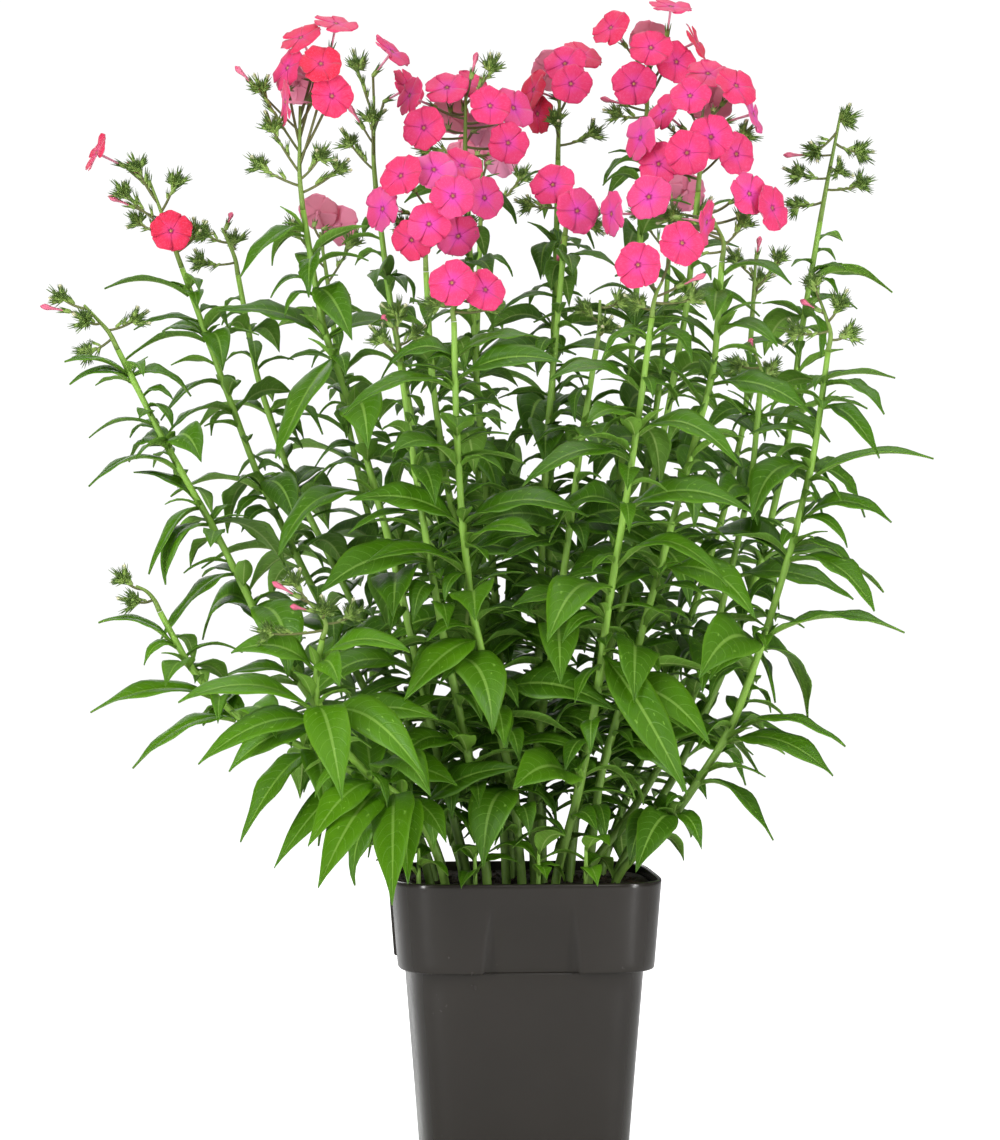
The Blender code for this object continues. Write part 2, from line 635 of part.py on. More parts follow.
def make_pot(collection, paint):
    """Thin tapered shell with a deep collar, a rolled rim, a low foot and drain holes."""
    outer = [
        pot_ring(BASE_HALF - 0.002, 0.0),
        pot_ring(BASE_HALF, 0.002),
        pot_ring(BODY_TOP_HALF, COLLAR_BOTTOM - 0.0012),
        pot_ring(COLLAR_LOW_HALF - 0.0012, COLLAR_BOTTOM - 0.0002, panel_depth(COLLAR_BOTTOM) - 0.0012),
        pot_ring(COLLAR_LOW_HALF, COLLAR_BOTTOM + 0.0012, panel_depth(COLLAR_BOTTOM + 0.0012)),
        pot_ring(COLLAR_LOW_HALF + (RIM_HALF - COLLAR_LOW_HALF) * 0.78, PANEL_TOP),
        pot_ring(RIM_HALF, POT_HEIGHT - 0.0012),
        pot_ring(RIM_HALF - 0.0010, POT_HEIGHT),
    ]
    inner = [
        pot_ring(RIM_HALF - WALL, POT_HEIGHT),
        pot_ring(COLLAR_LOW_HALF + (RIM_HALF - COLLAR_LOW_HALF) * 0.78, PANEL_TOP, 0.0, WALL),
        pot_ring(COLLAR_LOW_HALF, COLLAR_BOTTOM + WALL, panel_depth(COLLAR_BOTTOM), WALL),
        pot_ring(BODY_TOP_HALF, COLLAR_BOTTOM - 0.0020, 0.0, WALL),
        pot_ring(BASE_HALF + 0.0003, FLOOR, 0.0, WALL),
    ]
    pot = mesh_object("pot", loft(outer + inner), collection, paint)
    holes = []
    for k in range(4):
        a = math.radians(45 + 90 * k) + POT_TURN
        centre = Vector((math.cos(a) * 0.036, math.sin(a) * 0.036, 0))
        path = [centre - Vector((0, 0, 0.004)), centre + Vector((0, 0, FLOOR + 0.004))]
        holes.append(tube(path, [0.005, 0.005], 6))
    if not boolean(pot, holes, "DIFFERENCE"):
        raise ValueError("the pot's holes don't cut cleanly")
    for face in pot.data.polygons:
        face.use_smooth = True
    return pot


def make_soil(collection, paint, roots):
    """Filled root ball inside the pot, with a plain hole for each stem."""
    shrink = WALL + GAP
    low = FLOOR + GAP
    rings = [
        pot_ring(BASE_HALF + 0.0003, low, 0.0, shrink),
        pot_ring(BODY_TOP_HALF, COLLAR_BOTTOM - 0.0020, 0.0, shrink + 0.0002),
        pot_ring(COLLAR_LOW_HALF, COLLAR_BOTTOM + WALL + 0.0006, panel_depth(COLLAR_BOTTOM),
                 shrink + 0.0002),
        pot_ring(COLLAR_LOW_HALF + (RIM_HALF - COLLAR_LOW_HALF) * 0.78, PANEL_TOP, 0.0,
                 shrink + 0.0002),
        pot_ring(COLLAR_LOW_HALF + (RIM_HALF - COLLAR_LOW_HALF) * 0.8, SOIL_TOP, 0.0,
                 shrink + 0.0004),
    ]
    soil = mesh_object("soil", loft(rings), collection, paint)
    holes = []
    for x, y, radius in roots:
        path = [Vector((x, y, SOIL_TOP - HOLE_DEPTH - GAP)), Vector((x, y, SOIL_TOP + 0.01))]
        holes.append(tube(path, [radius + HOLE_PLAY] * 2, STEM_SIDES))
    if not boolean(soil, holes, "DIFFERENCE"):
        raise ValueError("the soil's holes don't cut cleanly")
    return soil


def stem_path(root, route):
    x, y = root[0] / 1000, root[1] / 1000
    top = SOIL_TOP
    points = [Vector((x, y, top + 0.003))]
    for across, down, depth in route:
        points.append(view_point(across, down, depth / 1000))
    count = max(6, round((points[-1] - points[0]).length / 0.078))
    path, length = spline(points, count)
    path = [Vector((x, y, top - HOLE_DEPTH))] + path
    return path, length


def along_path(path, distance):
    """Point and direction at a length along a path."""
    run = 0.0
    for a, b in zip(path, path[1:]):
        step = (b - a).length
        if run + step >= distance:
            return a.lerp(b, (distance - run) / step), (b - a).normalized()
        run += step
    return path[-1].copy(), (path[-1] - path[-2]).normalized()


def path_radius(path, distance, length):
    return STEM_BASE_R + (STEM_TOP_R - STEM_BASE_R) * min(1.0, distance / length)


def leaf_curve(point, along, azimuth, climb, fall, length, radius):
    """Curve that leaves the stem at an angle and arches over."""
    out = Vector((math.cos(azimuth), math.sin(azimuth), 0))
    out = (out - along * out.dot(along)).normalized()
    start = point + out * radius * 0.4
    flat = Vector((out.x, out.y, 0)).normalized()
    first = flat * math.cos(climb) + Vector((0, 0, math.sin(climb)))
    second = flat * math.cos(fall) + Vector((0, 0, math.sin(fall)))
    p1 = start + first * length * 0.48
    return start, p1, p1 + second * length * 0.56


def outward_roll(point, heading, rng):
    """Turn of the blade about its own line that shows its face to the outside of the plant."""
    outside = Vector((point.x * 0.6, point.y - 0.06, 0)).normalized()
    normal = Vector((0, 0, 0.8)) + outside * 0.75
    right = Vector((math.cos(heading), math.sin(heading), 0)).cross(Vector((0, 0, 1)))
    return 0.85 * math.atan2(normal.dot(right), normal.z) + rng.uniform(-0.3, 0.3)


def place_shown_leaves(name, path, rng):
    """Leaves laid out by their place in the front view, eased until they are clear."""
    node = "leafy_stem_" + name
    leaves = []
    for start, end, half, arch in SHOWN_LEAVES.get(name, []):
        level = view_point(*start, 0).z
        distance = 0.02
        length = sum((b - a).length for a, b in zip(path, path[1:]))
        while along_path(path, distance)[0].z < level and distance < length - 0.004:
            distance += 0.002
        point, along = along_path(path, distance)
        for attempt in range(60):
            loose = attempt / 60
            tip = view_point(end[0] + rng.uniform(-14, 14) * loose, end[1] + rng.uniform(-16, 16) * loose,
                             end[2] / 1000 + rng.uniform(-0.05, 0.05) * loose)
            tip = point.lerp(tip, 1 - 0.25 * loose)
            out = tip - point
            out = (out - along * out.dot(along)).normalized()
            root = point + out * STEM_TOP_R * 0.6
            bend = root.lerp(tip, 0.45) + Vector((0, 0, (arch / 1000 + 0.004) * 1.6))
            heading = math.atan2(tip.y - point.y, tip.x - point.x)
            roll = outward_roll(point, heading, rng)
            spec = ((root, bend, tip), half / 1000, roll, LONG_LEAF)
            if clashes(node, leaf(*spec, CLEARANCE)):
                continue
            keep(node, leaf(*spec))
            leaves.append(spec)
            break
    return leaves


def plan_leaves(name, path, first_height, spacing, longest, rng):
    """Opposite pairs, each a quarter turn from the pair below, tried until clear of the rest."""
    node = "leafy_stem_" + name
    length = sum((b - a).length for a, b in zip(path, path[1:]))
    leaves = []
    distance = 0.0
    while along_path(path, distance)[0].z < first_height:
        distance += 0.002
    heading = rng.uniform(0, math.pi)
    while distance < length - 0.012:
        point, along = along_path(path, distance)
        part = distance / length
        radius = path_radius(path, distance, length)
        size = longest * (0.80 + 1.2 * part * (1 - part)) * (1 - 0.34 * max(0, part - 0.6) / 0.4)
        for half in range(2):
            base = heading + half * math.pi
            for attempt in range(50):
                loose = attempt / 50
                azimuth = base + rng.uniform(-0.22, 0.22) + rng.uniform(-1.3, 1.3) * loose
                climb = math.radians(rng.uniform(8, 44) + rng.uniform(-30, 30) * loose)
                fall = climb - math.radians(rng.uniform(50, 108))
                reach = size * rng.uniform(0.88, 1.10) * (1 - 0.42 * loose)
                roll = outward_roll(point, azimuth, rng)
                width = reach * rng.uniform(0.148, 0.176)
                curve = leaf_curve(point, along, azimuth, climb, fall, reach, radius)
                if curve[2].z < POT_HEIGHT + 0.006 and max(abs(curve[2].x), abs(curve[2].y)) < 0.1:
                    continue
                stations = LONG_LEAF if reach > 0.092 else SHORT_LEAF
                spec = (curve, width, roll, stations)
                if clashes(node, leaf(*spec, CLEARANCE)):
                    continue
                keep(node, leaf(*spec))
                leaves.append(spec)
                break
        heading += math.pi / 2 + rng.uniform(-0.2, 0.2)
        distance += PAIR_SPACING * spacing * (1.06 - 0.26 * part) * rng.uniform(0.92, 1.08)
    return leaves


def facing_of(turn, tilt):
    a = math.radians(turn)
    b = math.radians(tilt)
    return Vector((math.sin(a) * math.cos(b), -math.cos(a) * math.cos(b), math.sin(b)))


def plan_head(name, end, direction, rng):
    """Axis, branches, tufts of buds, pink buds and open flowers of one head."""
    node = "head_" + name
    top, tufts, flowers, pink = HEADS[name]
    base = end + direction * GAP
    crown = view_point(top[0], top[1], base.y)
    axis, length = spline([base, base + direction * 0.012, crown], 3)
    shapes = {"axis": (axis, [0.0017, 0.0015, 0.0013, 0.0010]), "tufts": [], "buds": [], "flowers": []}
    keep(node, tube(axis, [0.0017, 0.0015, 0.0013, 0.0010], 4))

    ends = [(down, across) for across, down, *rest in flowers]
    ends += [(down, across) for across, down, *rest in tufts]
    ends += [(down, across) for across, down in pink]
    ranks = {key: rank for rank, key in enumerate(sorted(ends, reverse=True))}

    def joint(across, down):
        """Where on the axis the branch to a place in the view starts: low branches start low."""
        part = (ranks[(down, across)] + 0.6) / len(ends)
        return along_path(axis, length * (0.12 + 0.85 * part))[0]

    for across, down, dy, turn, tilt in flowers:
        for attempt in range(41):
            shift = ((attempt + 1) // 2) * (0.003 if attempt % 2 else -0.003)
            centre = view_point(across, down, base.y + dy / 1000 + shift)
            facing = facing_of(turn + rng.uniform(-4, 4), tilt + rng.uniform(-4, 4))
            radius = 0.0150 * rng.uniform(0.95, 1.06)
            spin = rng.uniform(0, 1.25)
            root = joint(across, down)
            if clashes(node, flower(root, centre, facing, radius, spin, CLEARANCE)):
                continue
            keep(node, flower(root, centre, facing, radius, spin))
            shapes["flowers"].append((root, centre, facing, radius, spin))
            break
    for across, down, dy, count in tufts:
        for attempt in range(31):
            shift = ((attempt + 1) // 2) * (0.003 if attempt % 2 else -0.003)
            centre = view_point(across, down, base.y + dy / 1000 + shift)
            root = joint(across, down)
            tips = tuft_tips(root, centre, count, rng.uniform(0, 6), rng.uniform(0.012, 0.0145))
            if clashes(node, tuft(root, centre, tips, CLEARANCE)):
                continue
            keep(node, tuft(root, centre, tips))
            shapes["tufts"].append((root, centre, tips))
            break
    for across, down in pink:
        for attempt in range(21):
            shift = ((attempt + 1) // 2) * (0.003 if attempt % 2 else -0.003)
            tip = view_point(across, down, base.y - 0.002 + shift)
            root = joint(across, down)
            if clashes(node, bud(root, tip, 0.0021, CLEARANCE)):
                continue
            keep(node, bud(root, tip, 0.0021))
            shapes["buds"].append((root, tip, 0.0021))
            break
    return shapes


def plan_shoot(name, root, height, turn, rng):
    """Short stem with a few small leaves, two of which may hang over the rim."""
    node = "young_shoot_" + name
    x, y = root[0] / 1000, root[1] / 1000
    top = SOIL_TOP
    path = [
        Vector((x, y, top - HOLE_DEPTH)),
        Vector((x, y, top + 0.003)),
        Vector((x, y, top + height / 1000)),
    ]
    keep(node, tube(path, [0.0017, 0.0017, 0.0012], 5))
    leaves = []
    for k in range(4):
        z = 0.30 + 0.2 * k
        point = path[1].lerp(path[2], z)
        for attempt in range(60):
            loose = attempt / 60
            azimuth = math.radians(turn) + k * 2.1 + rng.uniform(-0.3, 0.3) + rng.uniform(-2, 2) * loose
            climb = math.radians(rng.uniform(25, 60))
            fall = climb - math.radians(rng.uniform(60, 110))
            reach = 0.042 * rng.uniform(0.8, 1.1) * (1 - 0.45 * loose)
            width = reach * 0.17
            roll = rng.uniform(-0.3, 0.3)
            curve = leaf_curve(point, Vector((0, 0, 1)), azimuth, climb, fall, reach, 0.0015)
            if clashes(node, leaf(curve, width, roll, SHORT_LEAF, CLEARANCE)):
                continue
            keep(node, leaf(curve, width, roll, SHORT_LEAF))
            leaves.append((curve, width, roll, SHORT_LEAF))
            break
    return path, leaves


def main():
    for thing in list(bpy.data.objects):
        bpy.data.objects.remove(thing)
    collection = bpy.data.collections.new("phlox")
    bpy.context.scene.collection.children.link(collection)
    plastic = material("pot_plastic", (0.070, 0.060, 0.052), 0.22)
    earth = material("potting_soil", (0.030, 0.018, 0.012), 0.95)
    green = material("leaf_green", (0.070, 0.180, 0.012), 0.45)
    pink = material("petal_pink", (0.85, 0.06, 0.25), 0.55)
    calyx = material("calyx_green", (0.20, 0.32, 0.05), 0.60)
    rng = random.Random(SEED)

    paths = {}
    roots = []
    for name, root, route, first, spacing, longest in STEMS:
        path, length = stem_path(root, route)
        count = len(path)
        radii = [STEM_BASE_R] + [path_radius(path, k, count - 2) for k in range(count - 1)]
        paths[name] = (path, radii)
        roots.append((path[0].x, path[0].y, STEM_BASE_R))
    for name, root, height, turn in SHOOTS:
        roots.append((root[0] / 1000, root[1] / 1000, 0.0017))

    pot = make_pot(collection, plastic)
    soil = make_soil(collection, earth, roots)
    keep("pot", ([v.co.copy() for v in pot.data.vertices],
                 [tuple(f.vertices) for f in pot.data.polygons], []))
    keep("soil", ([v.co.copy() for v in soil.data.vertices],
                  [tuple(f.vertices) for f in soil.data.polygons], []))
    for name, (path, radii) in paths.items():
        shape = tube(path, [r + CLEARANCE * 0.5 for r in radii], STEM_SIDES)
        if clashes("leafy_stem_" + name, shape):
            raise ValueError("stem runs into another: " + name)
        keep("leafy_stem_" + name, tube(path, radii, STEM_SIDES))

    heads = {}
    for name, (path, radii) in paths.items():
        direction = (path[-1] - path[-2]).normalized()
        heads[name] = plan_head(name, path[-1], direction, rng)
    shoots = {}
    for name, root, height, turn in SHOOTS:
        shoots[name] = plan_shoot(name, root, height, turn, rng)
    leaf_sets = {}
    for name, (path, radii) in paths.items():
        leaf_sets[name] = place_shown_leaves(name, path, rng)
    for name, root, route, first, spacing, longest in STEMS:
        path, radii = paths[name]
        leaf_sets[name] += plan_leaves(name, path, first / 1000, spacing / 1000, longest / 1000, rng)

    total = 0
    for name, (path, radii) in paths.items():
        joined("leafy_stem_" + name, tube(path, radii, STEM_SIDES, STEM_TURNS.get(name, 0.0)),
               [leaf(*spec) for spec in leaf_sets[name]], collection, green)
    for name, shapes in heads.items():
        axis, radii = shapes["axis"]
        paint = pink if shapes["flowers"] else calyx
        parts = [tuft(*spec) for spec in shapes["tufts"]]
        parts += [bud(*spec) for spec in shapes["buds"]]
        parts += [flower(*spec) for spec in shapes["flowers"]]
        joined("head_" + name, tube(axis, radii, 4), parts, collection, paint)
    for name, (path, leaves) in shoots.items():
        core = tube(path, [0.0017, 0.0017, 0.0012], STEM_SIDES, STEM_TURNS.get(name, 0.0))
        joined("young_shoot_" + name, core, [leaf(*spec) for spec in leaves], collection, green)
    for thing in collection.objects:
        count = sum(len(f.vertices) - 2 for f in thing.data.polygons)
        total += count
    print("triangles", total, "leaves", sum(len(v) for v in leaf_sets.values()),
          "flowers", sum(len(s["flowers"]) for s in heads.values()),
          "buds", sum(len(s["buds"]) + len(s["tufts"]) for s in heads.values()))


main()
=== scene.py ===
"""Looks of the potted phlox: fine leaves, flowers, stems, soil and pot over the plain solids."""

import math
import random

import bmesh
import bpy
import numpy as np
from mathutils import Matrix, Vector, noise
from mathutils.bvhtree import BVHTree


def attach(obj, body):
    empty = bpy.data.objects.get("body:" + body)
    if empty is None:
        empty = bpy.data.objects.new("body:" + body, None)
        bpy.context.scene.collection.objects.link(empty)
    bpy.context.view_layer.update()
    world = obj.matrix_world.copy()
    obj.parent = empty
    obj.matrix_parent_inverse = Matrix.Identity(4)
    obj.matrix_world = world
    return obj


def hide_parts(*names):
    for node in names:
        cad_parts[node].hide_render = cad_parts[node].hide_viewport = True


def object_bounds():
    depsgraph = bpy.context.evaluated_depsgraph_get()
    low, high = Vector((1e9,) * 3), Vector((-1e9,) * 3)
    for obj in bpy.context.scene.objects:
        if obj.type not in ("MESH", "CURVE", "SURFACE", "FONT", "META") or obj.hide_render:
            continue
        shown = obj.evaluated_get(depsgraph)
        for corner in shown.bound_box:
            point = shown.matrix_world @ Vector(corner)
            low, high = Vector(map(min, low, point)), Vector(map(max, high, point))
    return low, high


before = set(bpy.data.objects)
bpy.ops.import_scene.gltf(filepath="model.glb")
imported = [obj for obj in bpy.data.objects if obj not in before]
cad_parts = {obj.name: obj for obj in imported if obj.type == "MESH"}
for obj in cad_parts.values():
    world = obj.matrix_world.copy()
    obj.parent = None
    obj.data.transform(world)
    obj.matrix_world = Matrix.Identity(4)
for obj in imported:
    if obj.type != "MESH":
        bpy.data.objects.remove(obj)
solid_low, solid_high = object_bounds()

VIEW_DISTANCE = 2.2
PICTURE_CENTRE = (500, 570)
FULL_TURN = 6.28

SEED = 11
GAP = 0.0003
CLEARANCE = 0.0005
POT_HEIGHT = 0.205
COLLAR_BOTTOM = 0.148
BASE_HALF = 0.0640
BODY_TOP_HALF = 0.0755
COLLAR_LOW_HALF = 0.0822
RIM_HALF = 0.0865
WALL = 0.0024
FLOOR = 0.0045
SQUARENESS = 5.0
PANEL_TOP = POT_HEIGHT - 0.013
POT_TURN = math.radians(4)
SOIL_TOP = 0.1985
HOLE_DEPTH = 0.018
EYE = Vector((-0.0143, -VIEW_DISTANCE, 0.4013))
SCALE = 0.00065
STEM_BASE_R = 0.0031
STEM_TOP_R = 0.0019
STEM_SIDES = 4
PAIR_SPACING = 1.5
STEMS = [
    ("front_centre", (0, -46), [(522, 828, -47), (506, 758, -54), (484, 662, -66), (466, 576, -78),
     (459, 460, -90), (455, 400, -94), (454, 322, -96)], 262, 41, 88),
    ("front_right", (20, -44), [(562, 836, -46), (584, 774, -54), (602, 662, -70), (611, 585, -82),
     (633, 464, -98), (640, 406, -104), (652, 318, -110)], 262, 42, 92),
    ("right", (58, -12), [(656, 834, -14), (701, 782, -22), (750, 689, -34), (776, 585, -42),
     (799, 525, -46), (823, 406, -50), (828, 352, -52)], 236, 44, 94),
    ("far_right", (60, 22), [(662, 800, 32), (716, 690, 46), (762, 560, 56), (792, 420, 62),
     (806, 280, 64), (820, 222, 64)], 290, 42, 86),
    ("inner_right", (40, 14), [(640, 800, 16), (693, 702, 14), (725, 595, 8), (752, 478, 0),
     (764, 425, -4), (760, 390, -6)], 285, 44, 84),
    ("leftmost", (-56, 4), [(402, 790, 2), (300, 690, -6), (231, 561, -16), (202, 505, -20),
     (164, 441, -22), (148, 392, -22), (118, 350, -22)], 280, 42, 86),
    ("second_left", (-50, 28), [(420, 800, 34), (340, 640, 48), (268, 500, 52), (230, 398, 52),
     (201, 326, 50), (182, 268, 48)], 300, 42, 84),
    ("third_left", (-38, 46), [(440, 800, 60), (372, 640, 92), (300, 500, 112), (262, 400, 118),
     (249, 311, 118), (238, 275, 118)], 300, 42, 82),
    ("fourth_left", (-34, -22), [(448, 800, -26), (412, 640, -34), (374, 480, -40), (337, 368, -42),
     (313, 292, -42), (303, 210, -42)], 275, 42, 88),
    ("fifth_left", (-22, 30), [(470, 800, 38), (442, 600, 56), (412, 420, 62), (388, 290, 64),
     (376, 190, 64)], 300, 43, 80),
    ("centre_left", (-10, -18), [(503, 800, -20), (478, 640, -24), (446, 480, -30), (430, 360, -36),
     (426, 272, -40)], 290, 43, 84),
    ("centre_back", (-6, 24), [(508, 800, 26), (496, 600, 26), (478, 400, 22), (470, 260, 18),
     (466, 168, 16)], 310, 43, 80),
    ("centre_mid", (14, -14), [(537, 800, -13), (540, 600, -8), (548, 420, -2), (560, 300, 2),
     (565, 236, 4)], 300, 43, 82),
    ("centre_far", (14, 38), [(540, 800, 44), (548, 600, 62), (552, 400, 76), (556, 260, 82),
     (558, 160, 84)], 320, 43, 80),
    ("right_far", (32, 38), [(575, 800, 46), (606, 600, 64), (628, 400, 76), (640, 240, 78),
     (646, 128, 78)], 320, 43, 80),
    ("right_mid", (30, -2), [(572, 800, 0), (618, 620, 4), (660, 450, 8), (688, 300, 8),
     (698, 192, 6)], 300, 43, 84),
    ("right_front", (42, -30), [(594, 800, -34), (640, 640, -46), (684, 480, -56), (716, 360, -60),
     (722, 262, -62)], 285, 43, 86),
    ("centre_bud", (8, -30), [(530, 800, -33), (560, 600, -42), (580, 450, -48), (596, 350, -50)],
     300, 44, 78),
    ("left_bud", (-22, -46), [(478, 800, -52), (440, 620, -68), (412, 450, -78), (400, 362, -80)],
     285, 44, 82),
    ("low_left", (-58, -26), [(396, 800, -34), (300, 745, -60), (224, 712, -74), (185, 660, -78),
     (160, 612, -78)], 262, 36, 74),
    ("low_front", (-48, -46), [(420, 815, -58), (360, 768, -96), (316, 710, -122), (317, 662, -128),
     (322, 640, -130)], 246, 32, 92),
    ("back_left", (-36, 62), [(450, 800, 84), (392, 600, 136), (350, 440, 162), (330, 300, 172)],
     300, 44, 84),
    ("back_centre", (-4, 64), [(505, 800, 88), (486, 600, 144), (476, 420, 178), (480, 240, 196)],
     300, 44, 86),
    ("back_right", (30, 62), [(575, 800, 86), (620, 600, 138), (656, 420, 166), (668, 270, 178)],
     300, 44, 84),
    ("back_far_right", (52, 46),
     [(626, 800, 62), (690, 620, 104), (740, 450, 128), (752, 320, 136)],
     300, 44, 82),
]
HEADS = {
    "front_centre": ((468, 290), [(440, 306, 0, 4), (486, 310, 8, 4)],
                     [(452, 283, -14, -10, 20), (485, 290, -8, 25, 15)], []),
    "front_right": ((662, 282), [(690, 300, 0, 4), (640, 306, 10, 4)],
                    [(638, 265, -14, -10, 10), (682, 243, -10, 12, 10)], [(706, 274)]),
    "right": ((820, 300),
              [(815, 287, 0, 5), (838, 308, -6, 5), (800, 334, -4, 4), (846, 336, 6, 4)],
              [], [(800, 300)]),
    "far_right": ((841, 112), [(842, 120, 0, 5), (818, 150, -6, 5), (856, 152, 8, 5),
                  (802, 176, 4, 5), (858, 186, -6, 5), (838, 172, -14, 4), (800, 206, 8, 4)],
                  [], [(783, 155)]),
    "inner_right": ((754, 352), [(742, 366, 0, 4), (770, 372, 6, 4)], [], [(750, 338)]),
    "leftmost": ((84, 305), [(64, 300, 0, 5), (88, 322, -8, 5), (132, 322, 6, 5), (90, 352, 8, 4)],
                 [], [(40, 306)]),
    "second_left": ((150, 182), [(138, 171, 0, 5), (174, 186, 6, 5), (126, 196, -8, 5),
                    (140, 224, 8, 4), (196, 236, -8, 4)],
                    [(97, 153, -4, -70, 25), (171, 231, -18, 5, 5)], [(108, 196), (127, 162)]),
    "third_left": ((222, 228), [(208, 236, 0, 5), (234, 244, 8, 4), (204, 264, -8, 4)],
                   [], [(232, 212)]),
    "fourth_left": ((300, 106), [(262, 92, 0, 5), (274, 132, -6, 5), (262, 168, 6, 4),
                    (318, 160, -8, 5), (336, 172, 8, 4)],
                    [(321, 64, -12, 0, 25), (332, 96, -16, 10, 5), (301, 38, 4, -30, 45),
                     (336, 24, 10, 20, 60), (288, 68, 0, -50, 20), (286, 102, -6, -70, 0),
                     (298, 84, 20, 170, 20)], [(235, 66)]),
    "fifth_left": ((374, 96), [(358, 70, 8, 5), (372, 122, -6, 5), (352, 146, 6, 4)],
                   [(392, 52, 0, 60, 40), (408, 88, 14, 60, 20)], [(348, 104)]),
    "centre_left": ((434, 196), [(404, 228, 10, 4), (466, 228, 8, 4)],
                    [(401, 176, -6, -25, 20), (434, 170, -10, 0, 30), (462, 166, 4, 20, 35),
                     (453, 196, -20, 5, 15), (484, 198, -4, 35, 10), (383, 209, 4, -45, 5),
                     (429, 224, -16, -5, -5), (412, 240, 4, -30, -25), (458, 236, 2, 20, -25)], []),
    "centre_back": ((466, 96), [(490, 72, 8, 5), (430, 152, 4, 4), (500, 152, 6, 4)],
                    [(410, 96, 4, -60, 20), (424, 128, -14, -15, 10), (447, 88, 0, -10, 35),
                     (467, 84, 14, 10, 50), (490, 106, -12, 10, 20), (513, 108, -2, 35, 20),
                     (508, 143, -12, 15, 0), (450, 116, 26, 175, 30), (486, 128, 26, 150, 10)],
                    [(477, 52)]),
    "centre_mid": ((566, 196), [(532, 206, 6, 4), (590, 226, 6, 4)],
                   [(553, 185, -8, -15, 25), (577, 211, -12, 20, 5)], [(558, 262)]),
    "centre_far": ((560, 84), [(556, 124, -8, 5), (590, 136, 6, 4)],
                   [(583, 55, 4, 30, 40), (565, 64, -8, -15, 25), (571, 84, -14, 5, 10),
                    (534, 90, 2, -60, 10), (538, 114, 0, -50, 0), (552, 70, 24, 180, 25)], []),
    "right_far": ((648, 62), [(620, 116, -6, 4), (668, 28, 8, 5)],
                  [(611, 28, 2, -35, 30), (651, 48, -8, 0, 25), (634, 84, -12, -10, 5),
                   (671, 7, 8, 12, 60), (696, 42, 9, 75, 20), (676, 62, -4, 25, 15),
                   (650, 40, 28, 170, 30)], [(600, 98)]),
    "right_mid": ((702, 116), [(660, 120, 10, 4), (742, 136, 10, 4)],
                  [(736, 86, -2, 25, 30), (690, 96, -6, -5, 25), (708, 74, 6, 5, 45),
                   (711, 137, -14, 5, 10), (687, 153, -18, -10, 0), (736, 154, -8, 30, 0),
                   (659, 164, -8, -20, -5), (641, 138, -4, -60, 10), (753, 114, 6, 75, 10),
                   (664, 112, 10, -50, 30), (712, 104, 28, 175, 20)], []),
    "right_front": ((708, 210), [(742, 226, 6, 5), (676, 218, 6, 4), (690, 252, 10, 4)],
                    [(649, 197, -6, -20, 10), (749, 194, -8, 30, 10), (772, 208, 2, 45, 5),
                     (706, 222, -4, 70, -10), (612, 214, 4, -60, 0)], []),
    "centre_bud": ((600, 300), [(588, 312, 0, 4), (616, 304, 4, 4), (604, 330, -6, 4)], [], []),
    "left_bud": ((394, 326), [(398, 318, 0, 4), (412, 338, 4, 4), (384, 342, -4, 4)],
                 [], [(382, 315)]),
    "low_left": ((136, 586), [(126, 582, 0, 5), (138, 602, -4, 4)], [], []),
    "low_front": ((306, 600), [(297, 586, 0, 5), (325, 613, -6, 5), (272, 634, -4, 4),
                  (348, 618, 4, 4)], [], [(272, 582), (290, 606)]),
    "back_left": ((320, 232), [(296, 232, 0, 4), (350, 246, 0, 4)],
                  [(318, 212, 18, 170, 30), (340, 226, 20, 150, 10)], []),
    "back_centre": ((482, 160), [(450, 176, 0, 4), (520, 180, 0, 4)],
                    [(478, 140, 14, 175, 40), (500, 158, 18, 150, 20),
                     (460, 160, 18, 200, 20)], []),
    "back_right": ((672, 200), [(640, 216, 0, 4), (700, 214, 0, 4)],
                   [(664, 184, 16, 190, 35), (686, 192, 18, 160, 20), (652, 206, 14, 210, 10)], []),
    "back_far_right": ((756, 256), [(738, 262, 0, 4), (778, 262, 0, 4), (758, 284, 8, 4)],
                       [], [(760, 236)]),
}
